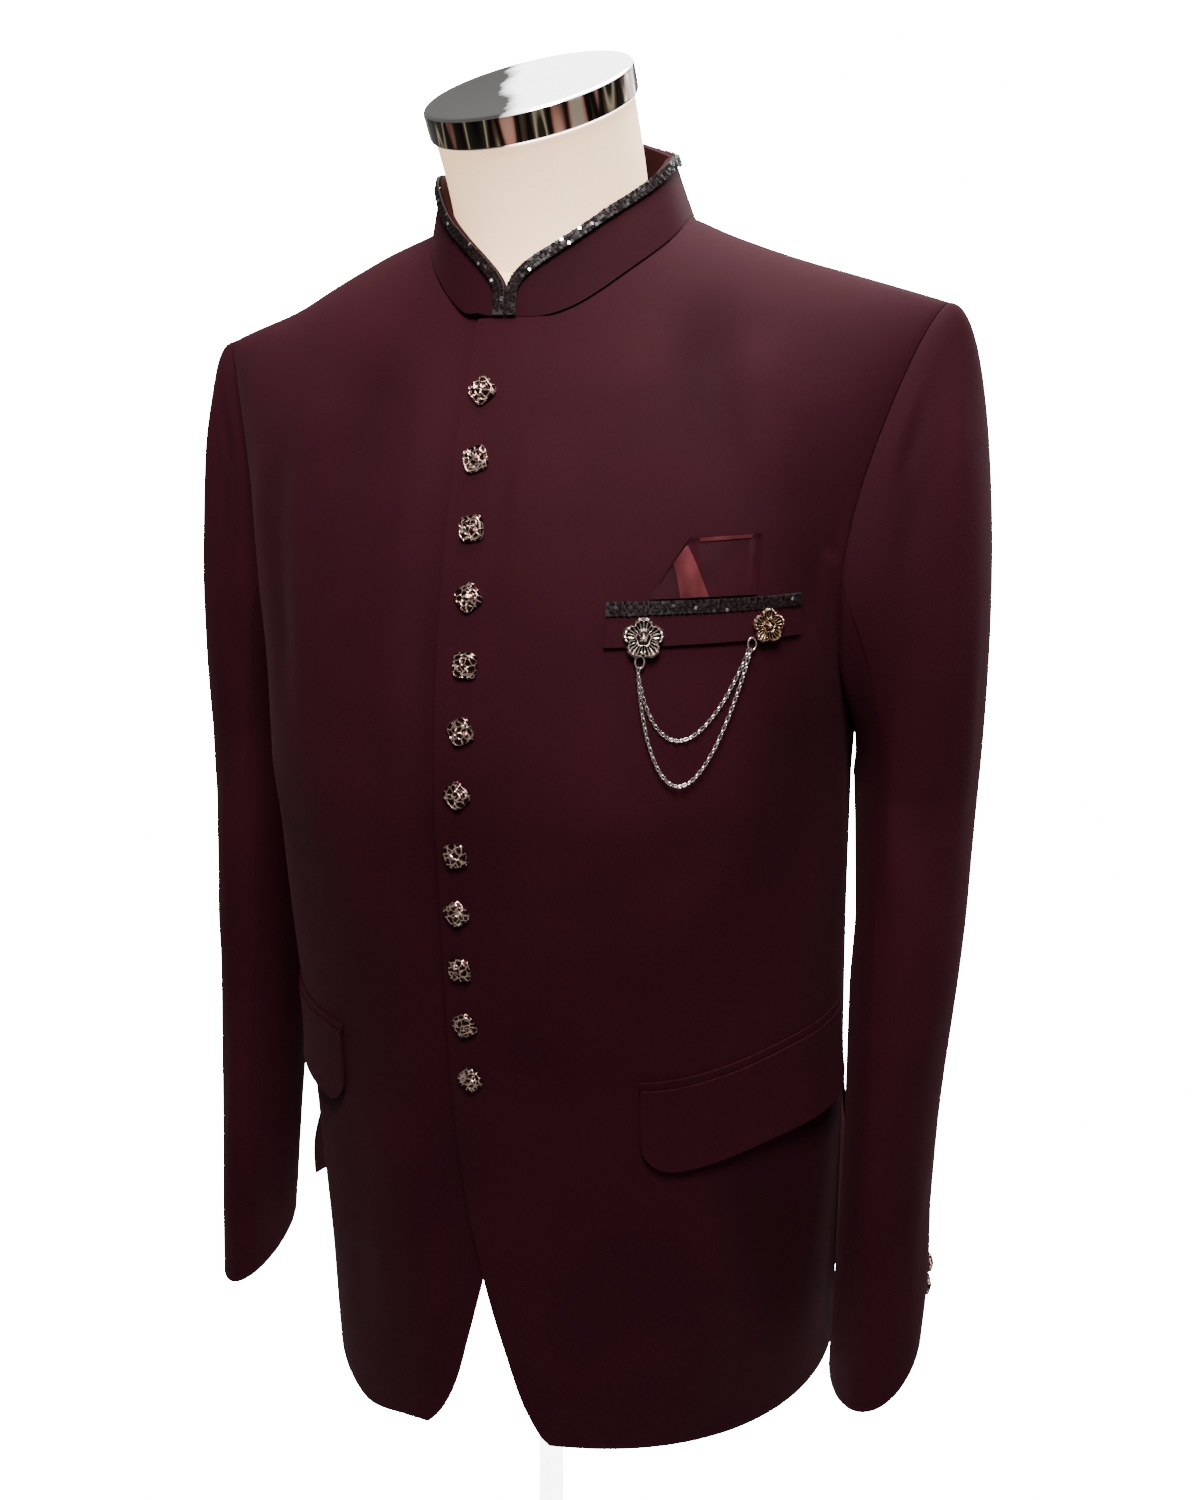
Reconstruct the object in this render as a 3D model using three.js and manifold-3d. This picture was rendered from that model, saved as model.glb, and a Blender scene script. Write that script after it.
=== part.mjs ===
// A bandhgala jacket on a limbless dress form, in millimetres, +Z up.
// The wearer faces -Y and the wearer's left is +X. The origin is the middle of the stand's underside.
import * as THREE from 'three';
import Module from 'manifold-3d';
import { mergeVertices } from 'three/addons/utils/BufferGeometryUtils.js';

const wasm = await Module();
wasm.setup();

// Heights of the jacket are counted from its hem, which hangs this far above the floor.
const HEM_ABOVE_FLOOR = 400;

// Cloth thicknesses and the gap that neighbouring pieces keep.
const BODY_CLOTH = 2;
const SLEEVE_CLOTH = 1.8;
const COLLAR_CLOTH = 2.6;
const TRIM_CLOTH = 1.2;
const FLAP_CLOTH = 1.8;
const SEAM_GAP = 0.3;

// The body's girth, one row a height: how far it reaches to the wearer's left and right,
// where its front and back faces lie, where its sides are, and how full its corners are.
const GIRTH = [
  { h: -12, left: 195, right: 161, front: -131, back: 120, side: 26, full: 0.005 },
  { h: 0, left: 195, right: 163, front: -131, back: 120, side: 26, full: 0.005 },
  { h: 100, left: 193, right: 169, front: -128, back: 118, side: 25, full: 0.015 },
  { h: 200, left: 190, right: 174, front: -126, back: 112, side: 22, full: 0.03 },
  { h: 300, left: 186, right: 179, front: -131, back: 108, side: 19, full: 0.045 },
  { h: 400, left: 183, right: 181, front: -138, back: 114, side: 15, full: 0.06 },
];
const CHEST = 400;

// The yoke above the chest rises in quarter ovals to the shoulder seam.
const SHOULDER_Y = 8;
const SHOULDER_HALF = 228;
// Its height on each side of the wearer, from the middle of the back out to the shoulder tip.
const SHOULDER_LINE = [
  { across: 0, left: 730.5, right: 730.5 },
  { across: 0.04, left: 729.8, right: 729.8 },
  { across: 0.1, left: 727, right: 727.5 },
  { across: 0.25, left: 720, right: 717 },
  { across: 0.34, left: 714, right: 709.5 },
  { across: 0.45, left: 703.5, right: 700.5 },
  { across: 0.6, left: 691.5, right: 685.5 },
  { across: 0.75, left: 681.5, right: 669.5 },
  { across: 0.9, left: 671.5, right: 658.5 },
  { across: 1, left: 664.5, right: 651 },
];
const YOKE_FRONT_FULL = -0.04;
const YOKE_BACK_FULL = 0.1;

// The neck ring that the collar is sewn to.
const NECK_HALF = { left: 77.5, right: 72 };
const NECK_ROUND = { left: 0.87, right: 0.97 };
const NECK_SWELL = { left: 6.5, right: 0, turn: 65, wide: 20 };
const NECK_FRONT = -76;
const NECK_BACK = 62;

// The armhole, from the shoulder tip down to the underarm: its girth place on the wearer's left
// and right, and the rise of the yoke.
const ARMHOLE = [
  { down: 0, left: 0.78, right: 0.9, rise: 90 },
  { down: 0.12, left: 0.75, right: 0.875, rise: 80 },
  { down: 0.25, left: 0.715, right: 0.845, rise: 67 },
  { down: 0.4, left: 0.69, right: 0.82, rise: 51 },
  { down: 0.55, left: 0.685, right: 0.8, rise: 37 },
  { down: 0.7, left: 0.715, right: 0.8, rise: 25 },
  { down: 0.85, left: 0.8, right: 0.85, rise: 15 },
  { down: 1, left: 1, right: 1, rise: 9.5 },
];

// The front edges below the collar, as distance from the middle towards the wearer's left.
const LEFT_EDGE = [
  { h: -12, x: 56 },
  { h: 0, x: 47 },
  { h: 5, x: 42 },
  { h: 15, x: 36 },
  { h: 30, x: 29 },
  { h: 60, x: 19 },
  { h: 85, x: 11 },
  { h: 105, x: 5.5 },
  { h: 125, x: 1 },
  { h: 150, x: -5 },
  { h: 200, x: -12 },
  { h: 250, x: -15 },
  { h: 400, x: -16 },
  { h: 660, x: -15 },
];
const RIGHT_EDGE = [
  { h: -12, x: -52 },
  { h: -8, x: -45 },
  { h: 3, x: -33 },
  { h: 15, x: -24 },
  { h: 35, x: -15 },
  { h: 60, x: -8 },
  { h: 85, x: -2 },
  { h: 105, x: 2.5 },
  { h: 150, x: 8 },
  { h: 200, x: 11 },
  { h: 250, x: 13 },
  { h: 660, x: 13 },
];
const RIGHT_FRONT_DROP = { edge: 9, middle: 19 };

// The side seams and the vents in their lower part.
const SIDE_SEAM = 1.04;
const VENT_TOP = 235;
const VENT_FLARE = { left: 20, right: 52 };
const BACK_HEM_RISE = 28;

// Sleeve sections from the upper arm down to the cuff, for the wearer's left.
const SLEEVE = [
  { h: 400, x: 222, y: 30, half: 35, deep: 59 },
  { h: 300, x: 224.5, y: 15, half: 33, deep: 54 },
  { h: 200, x: 227, y: 0, half: 31, deep: 48 },
  { h: 100, x: 228.5, y: -15, half: 29.5, deep: 41 },
  { h: 30, x: 228.5, y: -26, half: 28.5, deep: 36 },
];
const SLEEVE_HEAD = { left: 146, right: 164 };
const LEFT_SLEEVE_SLIM = 2.7;
const RIGHT_SLEEVE_IN = 3.5;
const RIGHT_SLEEVE_SLIM = 0.12;

// The cuffs hang lower in front and towards the wearer's right, and at their own heights.
const CUFF_SLANT = { back: 0.6, left: 0.35 };
const CUFF_LIFT = { left: 17, right: -20 };
const FRONT_SLEEVE_SEAM = 118;
const BACK_SLEEVE_SEAM = { head: 284, cuff: 318 };

// The collar: its height from the front middle to the back middle, how it leans in,
// and the rounded corner at each front end.
const COLLAR_TOP = [
  { share: 0, left: 38.5, right: 36 },
  { share: 0.21, left: 38.5, right: 36 },
  { share: 0.32, left: 36, right: 36 },
  { share: 0.42, left: 34.5, right: 33 },
  { share: 0.51, left: 33, right: 30 },
  { share: 0.59, left: 34, right: 30 },
  { share: 0.65, left: 37, right: 33 },
  { share: 0.72, left: 42.5, right: 40 },
  { share: 0.86, left: 55.5, right: 54 },
  { share: 0.93, left: 60, right: 59.5 },
  { share: 1, left: 61.5, right: 61.5 },
];
const COLLAR_LEAN = { middle: 0.18, left: 0.22, right: 0 };
const COLLAR_END_HEIGHT = 12;
const COLLAR_CORNER = { along: 44, round: 0.85 };
const COLLAR_LIFT = 1.3;
const TRIM_WIDE = 7.5;

// Buttons down the middle, on a line that sways a little, and on the cuffs.
const BUTTON_SIZE = 13.6;
const BUTTON_THICK = 4.4;
const FRONT_BUTTONS = 12;
const FIRST_BUTTON = 618;
const BUTTON_STEP = 34.4;
const BUTTON_LINE = { x: -2.1, sway: 3.3, wave: 320, crest: 490 };
const BUTTON_TURNS = [45, 20, 10, 40, 0, 25, 45, 15, 40, 5, 30, 45];
const CUFF_BUTTON_SIZE = 11;
const CUFF_BUTTON_THICK = 3.8;
const CUFF_BUTTON_HEIGHTS = { left: [99, 86], right: [70, 57] };
const CUFF_BUTTON_AROUND = 342;

// The breast pocket on the wearer's left: its welt, the trim on it and the folded square in it.
const WELT = { x: 73, across: 103, h: 493, tall: 15, slant: 5.5 };
const WELT_TRIM = { tall: 7.2, thick: 2.4 };
const SQUARE = { x: 94, wide: 48, tall: 29, thick: 2.4 };

// The hip pockets: where the flap starts, its size, and its rounded lower corners.
const FLAP = { x: 95, h: 244, across: 150, tall: 54, corner: 20, flare: 3.2, lift: 0.9 };
const FLAP_RISE = { left: 14, right: 2 };
const JET = { tall: 4.6, thick: 1.3 };

// The brooch: two flower pins joined by two hanging chains.
const PIN_THICK = 4;
const PINS = {
  front: { x: 92, h: 498, size: 21 },
  side: { x: 147.5, h: 504, size: 18 },
};
const CHAIN_RADIUS = 0.9;
const CHAIN_FROM = { x: 90.5, h: 484 };
const CHAIN_TO = { x: 140.5, h: 493 };
const CHAINS = {
  upper: { low: 447.5, out: 1.5 },
  lower: { low: 424.5, out: 3.7 },
};

// The form: its clearance inside the cloth, its neck and its cap.
const FORM_EASE = { shoulder: 5, chest: 7, hip: 4 };
const FORM_BOTTOM = 135;
const NECK_RADIUS = 54.5;
const NECK_LEAN = { forward: 28.6, side: -3.8 };
const CAP_RADIUS = 57;
const CAP_THICK = 15;
const CAP_CENTRE = { x: -1, y: -42, h: 775 };

// The stand.
const BASE_RADIUS = 150;
const BASE_THICK = 14;
const POLE_RADIUS = 9;

const rad = (degrees) => (degrees * Math.PI) / 180;
const mix = (a, b, t) => a + (b - a) * t;
const wordOf = (side) => (side > 0 ? 'left' : 'right');

// Rises gently from 0 to 1 while x goes from one value to the other, either way round.
function smooth(from, to, x) {
  const t = THREE.MathUtils.clamp((x - from) / (to - from), 0, 1);
  return t * t * (3 - 2 * t);
}

// A value from a table, on smooth curves through its rows.
function read(table, key, by, at) {
  const last = table.length - 1;
  const x = THREE.MathUtils.clamp(at, table[0][by], table[last][by]);
  let i = 0;
  while (i < last - 1 && x > table[i + 1][by]) i += 1;
  const slope = (k) => {
    const lo = table[Math.max(k - 1, 0)];
    const hi = table[Math.min(k + 1, last)];
    return (hi[key] - lo[key]) / (hi[by] - lo[by]);
  };
  const a = table[i];
  const b = table[i + 1];
  const width = b[by] - a[by];
  const t = (x - a[by]) / width;
  const t2 = t * t;
  const t3 = t2 * t;
  return (
    a[key] * (2 * t3 - 3 * t2 + 1) +
    slope(i) * width * (t3 - 2 * t2 + t) +
    b[key] * (3 * t2 - 2 * t3) +
    slope(i + 1) * width * (t3 - t2)
  );
}

// One horizontal section of the body. girth runs 0 at the front middle, 1 at the side, 2 at the back.
function section(side, girth, h) {
  const turn = rad(girth * 90);
  const full = 1 + read(GIRTH, 'full', 'h', h) * Math.sin(2 * turn) ** 2;
  const reach = read(GIRTH, wordOf(side), 'h', h);
  const middle = read(GIRTH, 'side', 'h', h);
  const face = read(GIRTH, Math.cos(turn) >= 0 ? 'front' : 'back', 'h', h);
  return {
    across: Math.sin(turn) * full,
    reach,
    y: middle + (face - middle) * Math.abs(Math.cos(turn)) * full,
  };
}

const shoulderHeight = (side, across) => read(SHOULDER_LINE, wordOf(side), 'across', across);
const yokeFull = (girth, rise) =>
  1 + mix(YOKE_FRONT_FULL, YOKE_BACK_FULL, smooth(0.6, 1.4, girth)) * Math.sin(2 * rise) ** 2;
const yokeReach = (reach, rise) => mix(reach, SHOULDER_HALF, Math.sin(rise) ** 2);

// A point of the body's outer face. up runs 0 to 1 from hem to chest, and 1 to 2 on to the shoulder.
function bodyPoint(side, girth, up) {
  if (up <= 1) {
    const cut = section(side, girth, up * CHEST);
    return new THREE.Vector3(side * cut.across * cut.reach, cut.y, up * CHEST);
  }
  const cut = section(side, girth, CHEST);
  const rise = rad((up - 1) * 90);
  const full = yokeFull(girth, rise);
  const seamY = SHOULDER_Y + (girth < 1 ? -SEAM_GAP / 2 : SEAM_GAP / 2) * smooth(1.7, 2, up);
  return new THREE.Vector3(
    side * cut.across * yokeReach(cut.reach, rise),
    seamY + (cut.y - seamY) * Math.cos(rise) * full,
    CHEST + (shoulderHeight(side, cut.across) - CHEST) * Math.sin(rise) * full,
  );
}

// The outward direction of a surface at a place of its own two coordinates.
function normalOf(surface, a, b, sign, step = 0.004) {
  const across = surface(a + step, b).sub(surface(a - step, b));
  const along = surface(a, b + step).sub(surface(a, b - step));
  return across.cross(along).normalize().multiplyScalar(sign);
}

const bodyNormal = (side, girth, up) =>
  normalOf((g, u) => bodyPoint(side, g, Math.min(u, 2)), girth, Math.min(up, 1.996), side);

const bodyOffset = (side, girth, up, out) =>
  bodyPoint(side, girth, up).addScaledVector(bodyNormal(side, girth, up), out);

// Girth place of a point that lies x from the middle on the front.
function girthAt(side, x, up) {
  const h = Math.min(up, 1) * CHEST;
  const rise = rad(Math.max(up - 1, 0) * 90);
  const reach = yokeReach(read(GIRTH, wordOf(side), 'h', h), rise);
  let turn = Math.asin(x / reach);
  for (let i = 0; i < 6; i += 1) {
    const full = 1 + read(GIRTH, 'full', 'h', h) * Math.sin(2 * turn) ** 2;
    turn = Math.asin(x / reach / full);
  }
  return turn / rad(90);
}

// The neck seam: turn 0 at the front middle, 90 at the shoulder seam, 180 at the back middle.
function neckPlace(side, turn) {
  const angle = rad(turn);
  const word = wordOf(side);
  const round = NECK_ROUND[word];
  const swell = NECK_SWELL[word] * Math.exp(-(((turn - NECK_SWELL.turn) / NECK_SWELL.wide) ** 2));
  const x = (NECK_HALF[word] + swell) * Math.sin(angle) ** round;
  const depth = turn <= 90 ? SHOULDER_Y - NECK_FRONT : NECK_BACK - SHOULDER_Y;
  const y = SHOULDER_Y - depth * Math.sign(Math.cos(angle)) * Math.abs(Math.cos(angle)) ** round;
  let girth = turn <= 90 ? 0.1 : 1.9;
  let rise = rad(70);
  for (let i = 0; i < 40; i += 1) {
    const cut = section(side, girth, CHEST);
    const flat = rad(girth * 90);
    const puff = 1 + read(GIRTH, 'full', 'h', CHEST) * Math.sin(2 * flat) ** 2;
    const sine = Math.min(x / yokeReach(cut.reach, rise) / puff, 1);
    girth = Math.asin(sine) / rad(90);
    if (turn > 90) girth = 2 - girth;
    const next = section(side, girth, CHEST);
    const cosine = (y - SHOULDER_Y) / (next.y - SHOULDER_Y) / yokeFull(girth, rise);
    rise = mix(rise, Math.acos(THREE.MathUtils.clamp(cosine, 0, 1)), 0.5);
  }
  return { girth, up: 1 + rise / rad(90) };
}

// The armhole: turn 0 at the shoulder tip, 180 at the underarm; front is girth under 1.
function armholePlace(side, turn, front) {
  const down = turn / 180;
  const girth = read(ARMHOLE, wordOf(side), 'down', down);
  return {
    girth: front ? girth : 2 - girth,
    up: 1 + read(ARMHOLE, 'rise', 'down', down) / 90,
  };
}

// Closes a grid of outer points and a grid of inner points into one wall.
function wallGeometry(outer, inner) {
  const rows = outer.length;
  const cols = outer[0].length;
  const position = [];
  [outer, inner].forEach((grid) => grid.forEach((row) => row.forEach((p) => position.push(p.x, p.y, p.z))));
  const at = (layer, i, j) => layer * rows * cols + i * cols + j;
  const index = [];
  const quad = (a, b, c, d) => index.push(a, b, c, a, c, d);
  for (let i = 0; i < rows - 1; i += 1) {
    for (let j = 0; j < cols - 1; j += 1) {
      quad(at(0, i, j), at(0, i, j + 1), at(0, i + 1, j + 1), at(0, i + 1, j));
      quad(at(1, i, j), at(1, i + 1, j), at(1, i + 1, j + 1), at(1, i, j + 1));
    }
  }
  for (let j = 0; j < cols - 1; j += 1) {
    quad(at(0, 0, j), at(1, 0, j), at(1, 0, j + 1), at(0, 0, j + 1));
    quad(at(0, rows - 1, j), at(0, rows - 1, j + 1), at(1, rows - 1, j + 1), at(1, rows - 1, j));
  }
  for (let i = 0; i < rows - 1; i += 1) {
    quad(at(0, i, 0), at(0, i + 1, 0), at(1, i + 1, 0), at(1, i, 0));
    quad(at(0, i, cols - 1), at(1, i, cols - 1), at(1, i + 1, cols - 1), at(0, i + 1, cols - 1));
  }
  return closed(position, index);
}

// A body from points and faces, turned so that its faces point out.
function closed(position, index) {
  let volume = 0;
  const p = (k) => new THREE.Vector3(position[3 * k], position[3 * k + 1], position[3 * k + 2]);
  for (let k = 0; k < index.length; k += 3) {
    volume += p(index[k]).dot(p(index[k + 1]).cross(p(index[k + 2])));
  }
  if (volume < 0) index.reverse();
  const geometry = new THREE.BufferGeometry();
  geometry.setAttribute('position', new THREE.Float32BufferAttribute(position, 3));
  geometry.setIndex(index);
  return geometry;
}

// A wall whose outer face is surface(a, b) for a and b from 0 to 1. keep holds its points off a seam.
function wall(cols, rows, surface, sign, thick, lift = 0, keep = (p) => p) {
  const outer = [];
  const inner = [];
  for (let i = 0; i <= rows; i += 1) {
    const outerRow = [];
    const innerRow = [];
    for (let j = 0; j <= cols; j += 1) {
      const a = j / cols;
      const b = i / rows;
      const p = surface(a, b);
      const inset = (v) => THREE.MathUtils.clamp(v, 0.004, 0.996);
      const n = normalOf(surface, inset(a), inset(b), sign);
      outerRow.push(keep(p.clone().addScaledVector(n, lift + thick)));
      innerRow.push(keep(p.clone().addScaledVector(n, lift)));
    }
    outer.push(outerRow);
    inner.push(innerRow);
  }
  return wallGeometry(outer, inner);
}

// A round body through closed rings of points, capped flat at both ends.
function ringBody(rings) {
  const count = rings[0].length;
  const position = rings.flat().flatMap((p) => [p.x, p.y, p.z]);
  const index = [];
  for (let i = 0; i < rings.length - 1; i += 1) {
    for (let j = 0; j < count; j += 1) {
      const a = i * count + j;
      const b = i * count + ((j + 1) % count);
      index.push(a, b, b + count, a, b + count, a + count);
    }
  }
  const top = (rings.length - 1) * count;
  for (let j = 1; j < count - 1; j += 1) {
    index.push(0, j + 1, j, top, top + j, top + j + 1);
  }
  return closed(position, index);
}

const material = (color, roughness, metalness = 0) => new THREE.MeshStandardMaterial({ color, roughness, metalness });
const SUITING = material(0x42202a, 0.75);
const SUITING_UNDER = material(0x3a1c24, 0.8);
const SEQUINS = material(0x1b1a1c, 0.35, 0.2);
const SATIN = material(0x7c434b, 0.4);
const SILVER = material(0xb8a8a4, 0.3, 1);
const OLD_GOLD = material(0x8a6a4c, 0.35, 1);
const CREAM = material(0xe8d5c0, 0.8);
const CHROME = material(0xd8d8da, 0.1, 1);
const WHITE_STEEL = material(0xf4f4f2, 0.4);

const group = new THREE.Group();
const jacket = new THREE.Group();
jacket.position.z = HEM_ABOVE_FLOOR;
group.add(jacket);

function add(name, geometry, paint, parent = jacket) {
  const mesh = new THREE.Mesh(geometry, paint);
  mesh.name = name;
  parent.add(mesh);
  return mesh;
}

// The cloth face of a panel lies inside the body's face by its thickness.
const SEAM_GIRTH = SEAM_GAP / 2 / 270;

// Where the side seam runs: straight under the arm, a little to the back below.
const sideSeam = (up) => mix(1, SIDE_SEAM, smooth(1.1, 0.72, up));

const CHEST_SPLIT = 1 + ARMHOLE[ARMHOLE.length - 1].rise / 90;
const HALF_TURN = 180;

// Rows of a panel: from the hem to the underarm, then on to the shoulder.
const LOWER_SHARE = 0.52;
const NECK_SHARE = 0.3;
const HEM_CROWD = 1.5;
const lowerUp = (b) => CHEST_SPLIT * (b / LOWER_SHARE) ** HEM_CROWD;

// How far the front middle runs down and how far the neck seam takes over, one share of the rows each.
function frontEdgePlace(side, table, b) {
  const neckUp = neckPlace(side, 0).up;
  const neckStart = 1 - NECK_SHARE;
  if (b > neckStart) {
    const share = (b - neckStart) / NECK_SHARE;
    const x = read(table, 'x', 'h', 660) * side;
    const lap = neckPlace(side, mix(0, 90, share));
    const start = girthAt(side, x, neckUp);
    return { girth: mix(start, lap.girth, Math.min(share * 6, 1)), up: lap.up };
  }
  const up = b < LOWER_SHARE
    ? lowerUp(b)
    : mix(CHEST_SPLIT, neckUp, (b - LOWER_SHARE) / (neckStart - LOWER_SHARE));
  const h = bodyPoint(side, 0, up).z;
  return { girth: girthAt(side, read(table, 'x', 'h', h) * side, up), up };
}

function outerEdgePlace(side, b, front) {
  if (b < LOWER_SHARE) {
    const up = lowerUp(b);
    return { girth: sideSeam(up), up };
  }
  return armholePlace(side, mix(HALF_TURN, 0, (b - LOWER_SHARE) / (1 - LOWER_SHARE)), front);
}

function frontPanel(side, table) {
  return (a, b) => {
    const inner = frontEdgePlace(side, table, b);
    const outer = outerEdgePlace(side, b, true);
    const girth = mix(inner.girth, outer.girth - SEAM_GIRTH, a);
    const up = mix(inner.up, outer.up, a);
    const point = bodyPoint(side, girth, up);
    if (side < 0) {
      const under = UNDERLAP * (1 - smooth(17, 48, -point.x));
      point.addScaledVector(bodyNormal(side, girth, up), -under);
      const dip = RIGHT_FRONT_DROP.edge + RIGHT_FRONT_DROP.middle * smooth(0, 0.3, a) * smooth(1.25, 0.7, a);
      point.z -= dip * smooth(60, 0, point.z);
    }
    return point;
  };
}

const UNDERLAP = 4.4;
const BODY_ROWS = 20;
const FRONT_COLS = 14;
const BACK_COLS = 9;

// Above the chest, the fronts stay before the shoulder seam and the backs behind it.
const SEAM_ABOVE = CHEST + 200;
const beforeSeam = (p) => {
  if (p.z > SEAM_ABOVE) p.y = Math.min(p.y, SHOULDER_Y - SEAM_GAP / 2);
  return p;
};
const behindSeam = (p) => {
  if (p.z > SEAM_ABOVE) p.y = Math.max(p.y, SHOULDER_Y + SEAM_GAP / 2);
  return p;
};

const bodyWall = (cols, surface, sign, keep) =>
  wall(cols, BODY_ROWS, surface, sign, BODY_CLOTH, -BODY_CLOTH, keep);
add('front_left', bodyWall(FRONT_COLS, frontPanel(1, LEFT_EDGE), 1, beforeSeam), SUITING);
add('front_right', bodyWall(FRONT_COLS, frontPanel(-1, RIGHT_EDGE), -1, beforeSeam), SUITING);

// The back: a seam down its middle, and skirts that stand out at the vents. Its neck seam ends
// a hair behind the shoulder seam, where a place still counts as the back.
const BACK_NECK_END = 90.01;
function backPanel(side) {
  return (a, b) => {
    const neck = neckPlace(side, 180);
    const neckStart = 1 - NECK_SHARE * 0.6;
    let inner;
    if (b > neckStart) {
      inner = neckPlace(side, mix(180, BACK_NECK_END, (b - neckStart) / (1 - neckStart)));
    } else {
      const up = b < LOWER_SHARE
        ? lowerUp(b)
        : mix(CHEST_SPLIT, neck.up, (b - LOWER_SHARE) / (neckStart - LOWER_SHARE));
      inner = { girth: 2, up };
    }
    const outer = outerEdgePlace(side, b, false);
    const girth = mix(inner.girth - SEAM_GIRTH, outer.girth + SEAM_GIRTH, a);
    const up = mix(inner.up, outer.up, a);
    const point = bodyPoint(side, girth, up);
    const open = smooth(VENT_TOP, 0, point.z) * smooth(0.25, 1, a);
    const flare = VENT_FLARE[wordOf(side)];
    point.x += side * flare * open;
    point.y += flare * 0.05 * open;
    point.z += BACK_HEM_RISE * smooth(120, 0, point.z);
    return point;
  };
}

add('back_left', bodyWall(BACK_COLS, backPanel(1), -1, behindSeam), SUITING);
add('back_right', bodyWall(BACK_COLS, backPanel(-1), 1, behindSeam), SUITING);

// A sleeve: around runs 0 on top, 90 in front, 180 underneath, 270 behind; down runs 0 to 1.
const HEAD_SHARE = 0.42;
const SLEEVE_UP = [...SLEEVE].reverse();

function sleevePoint(side, around, down) {
  const turn = rad(around);
  const over = (1 + Math.cos(turn)) / 2;
  const cut = (h) => {
    const low = side > 0 ? 0 : smooth(430, 200, h);
    const slim = 1 - RIGHT_SLEEVE_SLIM * low;
    const pinch = side > 0 ? LEFT_SLEEVE_SLIM * smooth(340, 190, h) * (1 - 0.6 * smooth(130, 50, h)) : 0;
    const x = read(SLEEVE_UP, 'x', 'h', h) - RIGHT_SLEEVE_IN * low - pinch;
    const half = read(SLEEVE_UP, 'half', 'h', h) * slim - pinch;
    const deep = read(SLEEVE_UP, 'deep', 'h', h) * slim;
    const y = read(SLEEVE_UP, 'y', 'h', h);
    return new THREE.Vector3(side * (x + half * Math.cos(turn)), y - deep * Math.sin(turn), h);
  };
  const top = SLEEVE[0].h;
  const cuff = SLEEVE[SLEEVE.length - 1];
  if (down >= HEAD_SHARE) {
    const point = cut(mix(top, cuff.h, (down - HEAD_SHARE) / (1 - HEAD_SHARE)));
    const near = smooth(0.7, 1, down);
    const slant = CUFF_SLANT.back * (point.y - cuff.y) + CUFF_SLANT.left * (point.x - side * cuff.x);
    point.z += near * (slant + CUFF_LIFT[wordOf(side)]);
    return point;
  }
  const place = armholePlace(side, around <= 180 ? around : 360 - around, around <= 180);
  const start = bodyPoint(side, place.girth, place.up);
  start.x += side * (0.95 + 0.85 * (1 - over));
  const end = cut(top);
  const fall = 4 * over * (1 - over);
  const leave = new THREE.Vector3(
    side * (2.5 + 20 * over),
    -6 * Math.sin(turn),
    -25 * fall - 10 * (1 - over) ** 2 - 2 * over,
  );
  const head = SLEEVE_HEAD[wordOf(side)];
  const arrive = new THREE.Vector3(0, -4 * Math.sin(turn), 14 * (1 - over) ** 2 + 60 * fall + head * over ** 2);
  const t = down / HEAD_SHARE;
  const s = 1 - t;
  return new THREE.Vector3()
    .addScaledVector(start, s * s * s + 3 * s * s * t)
    .addScaledVector(leave, 3 * s * s * t)
    .addScaledVector(end, 3 * s * t * t + t * t * t)
    .addScaledVector(arrive, 3 * s * t * t);
}

function sleevePiece(side, from, to) {
  const gap = 0.17;
  return (a, b) => {
    const around = mix(from(b) + gap, to(b) - gap, a);
    return sleevePoint(side, (around + 360) % 360, b);
  };
}

[['left', 1], ['right', -1]].forEach(([word, side]) => {
  const frontSeam = () => FRONT_SLEEVE_SEAM;
  const backSeam = (down) => mix(BACK_SLEEVE_SEAM.head, BACK_SLEEVE_SEAM.cuff, down);
  const topPiece = sleevePiece(side, (down) => backSeam(down) - 360, frontSeam);
  const underPiece = sleevePiece(side, frontSeam, backSeam);
  add(`sleeve_top_${word}`, wall(13, 16, topPiece, side, SLEEVE_CLOTH, -SLEEVE_CLOTH), SUITING);
  add(`sleeve_under_${word}`, wall(9, 16, underPiece, side, SLEEVE_CLOTH, -SLEEVE_CLOTH), SUITING_UNDER);
});

// How far along the neck seam from the front middle each turn lies, for laying out the collar.
const NECK_STEPS = 72;

function neckBase(side, turn) {
  const place = neckPlace(side, turn);
  return bodyPoint(side, place.girth, place.up);
}

function neckLengths(side) {
  const rows = [{ turn: 0, along: 0 }];
  let before = neckBase(side, 0);
  for (let i = 1; i <= NECK_STEPS; i += 1) {
    const turn = (i / NECK_STEPS) * HALF_TURN;
    const here = neckBase(side, turn);
    rows.push({ turn, along: rows[i - 1].along + here.distanceTo(before) });
    before = here;
  }
  return rows;
}

const NECK_TABLE = { left: neckLengths(1), right: neckLengths(-1) };
const tableOf = (side) => NECK_TABLE[wordOf(side)];

// A point of the collar's outer face, this far along from the front middle and this high.
function collarFace(side, along, high) {
  const turn = read(tableOf(side), 'turn', 'along', Math.max(along, 0.35));
  const base = neckBase(side, turn);
  const angle = rad(turn);
  const lean = COLLAR_LEAN.middle + COLLAR_LEAN[wordOf(side)] * Math.sin(angle);
  const up = new THREE.Vector3(-side * Math.sin(angle) * lean, Math.cos(angle) * lean, 1);
  return base.addScaledVector(up.normalize(), high + COLLAR_LIFT);
}

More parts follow.
